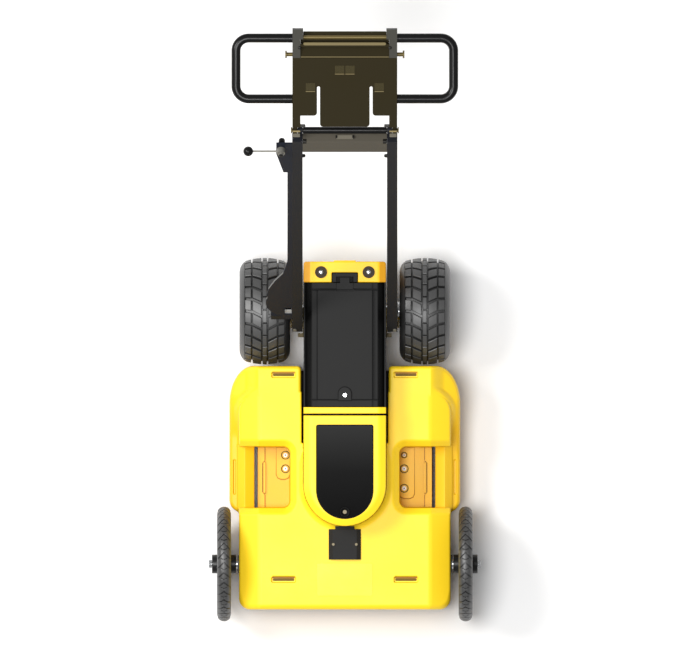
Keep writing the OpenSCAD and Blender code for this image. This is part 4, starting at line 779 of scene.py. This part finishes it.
# Control cover
# The yellow hood with sloped shoulders and a round front, and the band between it and the battery.
# The gloss black window is let into it on a rubber seal and held by one screw in a dished cup.
screw_zinc = finish("screw_zinc", "6E6550", 0.45, metal=0.3, grain=400.0, bump=0.0001)
cup_black = finish("cup_black", "0C0C0C", 0.4, grain=500.0, bump=0.0001, shine=0.04)
window_black = finish("window_black", "1A1A1A", 0.2, drift=0.05, grain=500.0, bump=0.00005, shine=0.003)
# Painted reflection: the window is lightest at the rear and darkest at the front, for a soft reflection of
# the lamps.
graded(window_black, "Y", -0.484, -0.251, "0C0C0C", "171717", "2B2B2B")
hood_z = 305
hood_rear = -226.6
foot_z = 215.2
window_x, window_y, window_rear = 70.4, -414, -250.6
band_y, band_half = -214, 8


def shouldered(wall, z, top, reach, angle):
    """A level top that falls away over the last reach millimetres before the wall"""
    lean = math.radians(angle)
    return both_r(z - top, (wall + reach) * math.sin(lean) + (z - top) * math.cos(lean), 2)


def cover_field(x, y, z):
    """The signed distance to the hood, about, in millimetres"""
    side = np.abs(x)
    wall = np.where(y > cover_y, side - cover_x, np.hypot(side, y - cover_y) - cover_x)
    hood = both_r(np.maximum(wall, y - hood_rear), shouldered(wall, z, hood_z, 17, 24), 2.5)
    window = np.where(y > window_y, side - window_x, np.hypot(side, y - window_y) - window_x)
    window = both_r(window, y - window_rear, 4)
    hood = both_r(hood, -np.maximum(window, hood_z - 5.2 - z), 0.7)
    return np.maximum(hood, foot_z - z)


def band_field(x, y, z):
    """The signed distance to the band, about, in millimetres"""
    side = np.abs(x)
    block = np.maximum(side - cover_x, np.abs(y - band_y) - band_half)
    return np.maximum(both_r(block, shouldered(side - cover_x, z, hood_z, 17, 24), 1.8), foot_z - z)


cover_mesh = field_mesh("control_cover_look", cover_field, (-106, -506, 211), (106, -222, 309), 2.0, 0.3)
placed("control_cover_look", cover_mesh, yellow, "yellow_plastic", "chassis", "control_cover")
band_mesh = field_mesh("bay_bulkhead_look", band_field, (-106, -225, 211), (106, -203, 309), 1.0, 0.12)
placed("bay_bulkhead_look", band_mesh, yellow, "yellow_plastic", "chassis", "bay_bulkhead")
refined("window_panel", window_black, "gloss_black")
refined("deck_screws", screw_zinc, "steel", edge=0.0003)
refined("control_unit", moulded_black, "inner_plastic", edge=0)

dish = [
    (0.0128, -0.0002), (0.0126, 0.0009), (0.0114, 0.0012),
    (0.0100, 0.0008), (0.0066, 0.0002), (0.0054, -0.0002),
]
cup = bmesh.new()
turned_piece(cup, dish, 28, Matrix.Translation((0.0, -0.468, hood_z / 1000)))
made("window_screw_cup", cup, 50, cup_black, "gloss_black", "chassis")


def window_line(out):
    """The window's outline moved outwards: straight sides, a round front and small rear corners"""
    half = 0.0698 + out
    corner = 0.0040 + out
    rear = -0.2512 + out - corner
    arcs = [(0.0, window_y / 1000, half, range(180, 361, 6))]
    arcs.append((half - corner, rear, corner, range(0, 91, 15)))
    arcs.append((corner - half, rear, corner, range(90, 181, 15)))
    points = []
    for x, y, r, angles in arcs:
        points += [(x + r * math.cos(math.radians(a)), y + r * math.sin(math.radians(a))) for a in angles]
    return points


seal_out, seal_in, seal_low, seal_top = 0.0018, -0.0004, 0.3040, 0.3052
seal = bmesh.new()
loops = []
for out, height in ((seal_out, seal_low), (seal_out, seal_top), (seal_in, seal_top), (seal_in, seal_low)):
    loops.append([seal.verts.new((x, y, height)) for x, y in window_line(out)])
bridged(seal, loops, closed=True)
section = [(0.1012, 0.2155), (0.1012, 0.2958), (0.0855, 0.3028)]
section += [(-x, z) for x, z in reversed(section)]
slab_piece(seal, section, 0.2215, 0.2272, 0.0003, Matrix.Rotation(math.radians(90), 4, "X"))
made("cover_seals", seal, 30, cup_black, "black_plastic", "chassis")

# Socket rings
# A dark seal ring round each socket in the hand pockets and the contact pin in its middle, both turned
# from a short profile.
pin = [(0.0005, -0.001), (0.0017, -0.001), (0.0017, 0.0004), (0.0012, 0.0008), (0.0005, 0.0008)]
socket_x = 0.1485
socket_r = 0.009
rings = bmesh.new()
for x, y, r in (
    (-socket_x, -0.326, socket_r),
    (-socket_x, -0.360, socket_r),
    (socket_x, -0.326, 0.006),
    (socket_x, -0.360, socket_r),
    (socket_x, -0.409, socket_r),
):
    inside = r - 0.0002
    outside = r + 0.0018
    lip = [(inside, -0.002), (outside, -0.002), (outside, 0.0016), (r + 0.0010, 0.0024), (inside, 0.0020)]
    turned_piece(rings, lip, 24, Matrix.Translation((x, y, 0.1148)))
    turned_piece(rings, pin, 12, Matrix.Translation((x, y, 0.1190)))
made("socket_rings", rings, 40, slit_brown, "inner_plastic", "chassis")

# Front bracket
# A black folded bracket that ties the spine to the nose: a level middle, two leaning sides and a
# neck that runs in under the cover.
battery_black = finish("battery_black", "262626", 0.6, grain=1100.0, bump=0.0004, shine=0.1)
middle = [(0.0300, 0.2268), (0.0400, 0.2185), (0.0405, 0.2151)]
neck = [(0.0225, 0.2250), (0.0240, 0.2235), (0.0240, 0.2151)]
bracket = bmesh.new()
for half, y0, y1 in ((middle, -0.587, -0.511), (neck, -0.512, -0.5034)):
    outline = [(-x, z) for x, z in reversed(half)] + half
    ends = [[bracket.verts.new((x, y, z)) for x, z in outline] for y in (y0, y1)]
    for end in ends:
        bracket.faces.new(end)
    bridged(bracket, ends)
folded = made("front_bracket_look", bracket, 20, battery_black, "black_plastic", "chassis", "front_bracket")
softened(folded, 0.0007, 2, 30)

# Rear cap
# The yellow end block behind the battery, with sloped ends, a pull tab and a notch for the latch. A
# black keeper fills the notch, and two lashing bolts sit on brown washers.
cap_rear, cap_front, cap_z, cap_foot = 158, 106, 300, 95.5
tab_x, notch_x, notch_y = 27, 33, 131


def cap_field(x, y, z):
    """The signed distance to the cap, about, in millimetres"""
    side = np.abs(x)
    plan = both_r(side - cover_x, y - cap_rear, 7)
    block = both_r(np.maximum(plan, cap_front - y), shouldered(side - cover_x, z, cap_z, 18, 27), 2.5)
    tab = np.maximum(np.maximum(side - tab_x, y - cap_rear - 3), np.maximum(z - cap_z + 3, 262 - z))
    block = either_r(block, np.maximum(tab, cap_rear - 8 - y), 1)
    notch = np.maximum(both_r(side - notch_x, y - notch_y, 3), cap_z - 20 - z)
    block = both_r(block, -notch, 1.2)
    return np.maximum(block, cap_foot - z)


cap_mesh = field_mesh("rear_cap_look", cap_field, (-106, 102, 91), (106, 164, 304), 2.0, 0.3)
cap_yellow = finish("cap_yellow", "F5C41E", 0.42, drift=0.03, spread=0.12, grain=1400.0, bump=0.0003)
# Painted shade: the cap turns orange-brown on its sloped ends, from about 86 mm out from the middle.
graded(cap_yellow, "X", 0.0855, 0.0875, "F5C41E", "DA9A18", mirrored=True)
placed("rear_cap_look", cap_mesh, cap_yellow, "yellow_plastic", "chassis", "rear_cap")
washer_brown = finish("washer_brown", "33281A", 0.5, grain=600.0, shine=0.15)
refined("cap_bolts", washer_brown, "olive_brass", edge=0.0004)
button = [
    (0.0, -0.0005), (0.0056, -0.0005), (0.0056, 0.0045),
    (0.0046, 0.0056), (0.0024, 0.0062), (0.0, 0.0063),
]
heads = bmesh.new()
for hand in (-1, 1):
    turned_piece(heads, button, 28, Matrix.Translation((hand * 0.0595, 0.1315, 0.303)))
made("cap_bolt_heads", heads, 40, bright_steel, "steel", "chassis")

recess = bmesh.new()
plate(recess, (-0.0328, 0.0328), (0.1062, 0.1308), (0.281, 0.2972), 0.003)
plate(recess, (-0.0200, 0.0200), (0.1068, 0.1200), (0.296, 0.3001), 0.002, 0.0003)
made("latch_recess", recess, 30, cup_black, "black_plastic", "chassis")
keeper = bmesh.new()
for hand in (-1, 1):
    plate(keeper, (hand * 0.0215, hand * 0.0308), (0.1066, 0.1285), (0.297, 0.3012), 0.002)
plate(keeper, (-0.0306, 0.0306), (0.1205, 0.1285), (0.297, 0.3007), 0.002)
made("latch_keeper", keeper, 30, battery_black, "black_plastic", "chassis")

# Battery
# A black pack that drops into the spine: grooved top, base plate, cells inside, a screwed pull tab at
# the front and a spring latch at the rear.
cell_wrap = finish("cell_wrap", "3E5A46", 0.4)
side_black = finish("side_black", "262626", 0.6, grain=1100.0, bump=0.0004, shine=0.08)
# Painted shade: the case darkens to near black on its sloped sides, from 80 mm out from the middle.
graded(side_black, "X", 0.0800, 0.0850, "262626", "0A0A0A", mirrored=True)
refined("battery_case", side_black, "black_plastic", "battery", edge=0.0012)
refined("battery_base", battery_black, "black_plastic", "battery", edge=0.001)
refined("battery_cells", cell_wrap, "inner_plastic", "battery", edge=0)
refined("battery_screw", bright_steel, "steel", "battery", edge=0.0003)
tab_r, tab_y, tab_end = 0.016, -0.172, -0.189
arch = [(tab_r, tab_end), (tab_r, tab_y)]
for a in range(15, 180, 15):
    arch.append((tab_r * math.cos(math.radians(a)), tab_y + tab_r * math.sin(math.radians(a))))
arch += [(-tab_r, tab_y), (-tab_r, tab_end)]
tab = bmesh.new()
slab_piece(tab, arch, 0.3058, 0.3083, 0.0008)
# Painted shade: near-black strips laid in the top's grooves, and a near-black outline round the pull tab.
groove_shades = bmesh.new()
slab_piece(groove_shades, widened(arch, 0.0018), 0.3058, 0.3072, 0.0002)
for across, along in (
    ((-0.0705, -0.0685), (-0.187, 0.087)),
    ((0.0685, 0.0705), (-0.187, 0.087)),
    ((-0.0840, -0.0240), (0.0855, 0.0876)),
    ((0.0240, 0.0840), (0.0855, 0.0876)),
    ((-0.0840, 0.0840), (-0.1880, -0.1859)),
):
    plate(groove_shades, across, along, (0.3050, 0.3067), 0.0004, 0.0002, steps=1)
made("battery_grooves", groove_shades, 30, cup_black, "black_plastic", "battery")
made("battery_tab", tab, 30, battery_black, "black_plastic", "battery")
refined("battery_latch", battery_black, "black_plastic", "battery_latch_slide")

# Lower handle
# Two square steel tubes on pivot studs, painted charcoal, tied by a grey folded plate and the gloss black
# hinge tube. The left one carries the guard plate over the tyre; dark clips and grey plugs sit at the top.
# Both charcoals lean blue to offset the yellow light bounced onto them from the body; the guard's copy of
# the paint is tinted bluer still.
charcoal = finish("charcoal_paint", "1B1C20", 0.5, grain=900.0, shine=0.12)
guard_charcoal = finish("guard_charcoal", "181B24", 0.5, grain=900.0, shine=0.12)
warm_grey = finish("warm_grey_paint", "4C4840", 0.55, grain=900.0, shine=0.1)
pale_grey = finish("pale_grey_paint", "666257", 0.5, grain=800.0, shine=0.1)
# Painted highlight: a pale grey for the guard plate's lit upper edge.
edge_grey = finish("edge_grey", "5C5C5A", 0.45, grain=900.0, shine=0.2)
# Painted highlight: a pale grey for a patch on the guard that stands in for the axle's glint.
insert_grey = finish("insert_grey", "9A9A98", 0.45, grain=500.0)
tube_gloss = finish(
    "tube_gloss", "111111", 0.24, drift=0.1, spread=0.05, grain=500.0, bump=0.00003, shine=0.13)
olive_zinc = finish("olive_zinc", "3A3014", 0.45, metal=0.2, grain=500.0, shine=0.2)
fixing_dark = finish("fixing_dark", "1C1B18", 0.4, metal=0.3, grain=500.0, shine=0.2)
brass = finish("brass", "5A4E2C", 0.4, metal=0.4, grain=500.0)
refined("pivot_mounts", olive_zinc, "olive_brass", edge=0.0005)
for side in ("left", "right"):
    refined(f"{side}_rail", charcoal, "black_paint", "lower_handle", edge=0.0018, segments=3)
refined("cross_plate", warm_grey, "grey_paint", "lower_handle", edge=0.0006)
refined("hinge_pin", brass, "olive_brass", "lower_handle", edge=0.0003)
refined("hinge_tube", tube_gloss, "gloss_black", "lower_handle", edge=0.0003)
refined("guard_plate", guard_charcoal, "black_paint", "lower_handle")
refined("foot_bolts", pale_grey, "steel", "lower_handle", edge=0.0003)
refined("fold_latch", pale_grey, "grey_paint", "fold_latch_slide", edge=0.0006)
rail = Matrix.Translation((0.0, 0.002, 0.262)) @ Matrix.Rotation(math.radians(56.5), 4, "X")
crest = rail @ Matrix.Rotation(math.radians(-90), 4, "X")
pan = [(0.0, -0.001), (0.0042, -0.001), (0.0042, 0.0012), (0.0032, 0.0023), (0.0013, 0.0026), (0.0, 0.0027)]
tall_pan = [(r * 1.1, h * 2.6) for r, h in pan]
clips = bmesh.new()
plugs = bmesh.new()
ends = bmesh.new()
for hand in (-1, 1):
    inward = Matrix.Rotation(math.radians(-90 * hand), 4, "Y")
    turned_piece(clips, tall_pan, 16, rail @ Matrix.Translation((hand * 0.1050, 0.762, 0.0)) @ inward)
    plate(clips, (hand * 0.0945, hand * 0.1054), (0.832, 0.8432), (0.002, 0.0112), 0.002, 0.001, rail)
    plate(plugs, (hand * 0.1120, hand * 0.1298), (-0.0118, -0.0020), (0.8640, 0.8662), 0.0015, 0.0006, crest)
    plate(ends, (hand * 0.0186, hand * 0.0232), (-0.0044, 0.0044), (0.8452, 0.8496), 0.0015, 0.0008, crest)
made("plate_clips", clips, 35, fixing_dark, "steel", "lower_handle")
made("rail_plugs", plugs, 30, pale_grey, "grey_paint", "lower_handle")
made("fold_latch_ends", ends, 30, fixing_dark, "black_plastic", "fold_latch_slide")

# Painted highlight: a thin pale grey skin over the guard plate's upper curved edge, where the edge catches
# the light.
edge_glint_skin = bmesh.new()
edge_glint_skin.from_mesh(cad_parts["guard_plate"].data)
bmesh.ops.remove_doubles(edge_glint_skin, verts=edge_glint_skin.verts, dist=2e-6)
into_rail = rail.inverted()
away = []
for face in edge_glint_skin.faces:
    height = (into_rail @ face.calc_center_median()).y
    facing = into_rail.to_3x3() @ face.normal
    on_edge = facing.y > 0.2 and facing.x < -0.2 and abs(facing.z) < 0.1
    if not (on_edge and 0.05 < height < 0.40):
        away.append(face)
bmesh.ops.delete(edge_glint_skin, geom=away, context="FACES")
lift = 0.00012
for vertex in edge_glint_skin.verts:
    vertex.co += rail.to_3x3() @ Vector((-lift, lift, 0.0))
bmesh.ops.solidify(edge_glint_skin, geom=edge_glint_skin.faces, thickness=0.0003)
made("guard_trim", edge_glint_skin, 30, edge_grey, "grey_paint", "lower_handle")
# Painted highlight: a flat pale grey patch on the guard plate, standing in for the bright glint of the steel
# axle beneath it.
axle_glint_patch = bmesh.new()
plate(axle_glint_patch, (-0.1535, -0.1320), (0.060, 0.0775), (0.0081, 0.0098), 0.003, 0.0005, rail)
made("guard_insert", axle_glint_patch, 30, insert_grey, "steel", "lower_handle")

# Brake
# A steel lever with a gloss black knob swivels on the guard plate's bracket under a black nut. It works
# a charcoal rod with a shoe over the left tyre.
lever_steel = finish("lever_steel", "77756F", 0.4, metal=0.5, grain=500.0)
refined("brake_lever", lever_steel, "steel", "brake_lever_arm", edge=0.0004)
refined("lever_knob", tube_gloss, "gloss_black", "brake_lever_arm", edge=0)
cap_nut = [
    (0.0, -0.001), (0.0050, -0.001), (0.0050, 0.0020),
    (0.0040, 0.0031), (0.0016, 0.0034), (0.0, 0.0034),
]
hub = [
    (0.0, -0.0085), (0.0035, -0.0082), (0.0068, -0.0060),
    (0.0082, -0.0030), (0.0082, 0.0050), (0.0, 0.0050),
]
nut = bmesh.new()
turned_piece(nut, cap_nut, 20, rail @ Matrix.Translation((-0.1595, 0.813, 0.0322)))
turned_piece(nut, hub, 24, rail @ Matrix.Translation((-0.1575, 0.813, -0.0095)))
made("lever_nut", nut, 40, tube_gloss, "gloss_black", "brake_lever_arm")
refined("brake_rod", charcoal, "black_paint", "brake_shoe", edge=0.0005)

# Upper handle
# An olive sheet tray with folded side arms, grey corner brackets, the two bent tube handles, a
# ledge with beige strips of painted highlight at the rear edge and spring plungers at both sides.
olive = finish("olive_paint", "241F10", 0.6, grain=900.0, shine=0.05)
beige = finish("beige_paint", "675C3E", 0.5, grain=800.0, shine=0.1)
bracket_grey = finish("bracket_grey", "383732", 0.55, grain=800.0, bump=0.0003, shine=0.08)
upper = Matrix.Translation((0.0, 0.486414, 0.966693)) @ Matrix.Rotation(math.radians(8), 4, "X")
tray = refined("tray_frame", olive, "olive_paint", "upper_handle", edge=0.0006)
sheet = bmesh.new()
sheet.from_mesh(tray.data)
into_tray = upper.inverted()
flap_corners = []
for edge in sheet.edges:
    a, b = (into_tray @ v.co for v in edge.verts)
    at_corner = all(0.066 < abs(p.x) < 0.074 and 0.0395 < p.y < 0.0425 for p in (a, b))
    if at_corner and abs(a.z - b.z) > 0.001:
        flap_corners.append(edge)
bmesh.ops.bevel(sheet, geom=flap_corners, offset=0.008, segments=5, profile=0.5, affect="EDGES")
sheet.to_mesh(tray.data)
sheet.free()
refined("corner_brackets", bracket_grey, "grey_paint", "upper_handle", edge=0.001)
for side in ("left", "right"):
    refined(f"{side}_loop", tube_gloss, "black_paint", "upper_handle", edge=0.0006)
    refined(f"{side}_plunger", brass, "olive_brass", f"{side}_pull_plunger", edge=0.0005)
refined("ledge", olive, "olive_paint", "upper_handle", edge=0.0006)
refined("ledge_bar", brass, "olive_brass", "upper_handle", edge=0.0003)
back = bmesh.new()
plate(back, (-0.1108, 0.1108), (0.2155, 0.2338), (0.0122, 0.0146), 0.001, 0.0006, upper)
plate(back, (-0.1039, 0.1039), (0.2155, 0.2515), (0.0125, 0.0148), 0.002, 0.0006, upper)
made("ledge_back", back, 30, olive, "olive_paint", "upper_handle")
# Painted highlight: beige strips along the ledge's lip and its bend at the tray's rear edge, where they
# catch the light.
bend_highlights = bmesh.new()
plate(bend_highlights, (-0.1035, 0.1035), (0.2190, 0.2262), (0.0296, 0.0352), 0.003, 0.0014, upper)
plate(bend_highlights, (-0.1105, 0.1105), (0.1885, 0.1903), (0.0220, 0.0328), 0.0008, 0.0005, upper)
made("ledge_beads", bend_highlights, 30, beige, "olive_paint", "upper_handle")

# Hatched grip patches
# Fine ribs pressed into the tray's olive sheet in four patches, each with a plain beige bar along its
# front edge. One rib is repeated in a row.
hatch_olive = finish("hatch_olive", "40391F", 0.5, grain=900.0, shine=0.1)
rows, taken, line, copies = repeating("rows", Step="Vector", Start="Vector")
wired(
    rows,
    (taken.outputs["Step"], line.inputs["Offset"]),
    (taken.outputs["Start"], line.inputs["Start Location"]),
)
rib_count = 11
rib_step = 0.0021
patch_half = rib_step * (rib_count - 1) / 2
sheet_z = 0.0319
rib_shape = bmesh.new()
plate(rib_shape, (-0.0005, 0.0005), (-0.0095, 0.0095), (0.0, 0.0007), 0.0004, 0.0002, steps=2)
rib = bpy.data.objects.new("hatch_rib", as_mesh(rib_shape, "hatch_rib", 30))
scene.collection.objects.link(rib)
patches = bmesh.new()
bars = bmesh.new()
for x, y in ((-0.0130, 0.1580), (0.0130, 0.1580), (-0.0860, 0.1140), (0.0860, 0.1140)):
    start = (x - patch_half, y, sheet_z)
    ribs = grown(
        rows, Piece=rib, Count=rib_count, Step=(rib_step, 0.0, 0.0), Start=start, Material=hatch_olive)
    ribs.transform(upper)
    patches.from_mesh(ribs)
    bar_across = (x - 0.0118, x + 0.0118)
    bar_along = (y - 0.0128, y - 0.0108)
    plate(bars, bar_across, bar_along, (0.0317, 0.0328), 0.0008, 0.0004, upper, 2)
bpy.data.objects.remove(rib)
made("tray_hatches", patches, 30, hatch_olive, "olive_paint", "upper_handle")
made("tray_hatch_bars", bars, 30, beige, "olive_paint", "upper_handle")

# Small fixings of the upper handle
# Pan-head screws on the corner brackets, dark clips on the arms by the hinge, and brass strips of
# painted highlight over the hinge knuckles.
screws = bmesh.new()
for hand in (-1, 1):
    turned_piece(screws, pan, 16, upper @ Matrix.Translation((hand * 0.113, 0.2130, 0.0342)))
# Painted highlight: flat brass strips lie on the arms where the hinge knuckles show a gold highlight.
knuckle_glints = bmesh.new()
for hand in (-1, 1):
    plate(screws, (hand * 0.0985, hand * 0.1125), (0.0120, 0.0180), (0.0180, 0.0300), 0.002, 0.0008, upper)
    plate(knuckle_glints, (hand * 0.1112, hand * 0.1308), (-0.0005, 0.0035), (0.0312, 0.0326), 0.001, 0.0006, upper)
made("bracket_screws", screws, 40, fixing_dark, "steel", "upper_handle")
made("knuckle_bands", knuckle_glints, 30, brass, "olive_brass", "upper_handle")
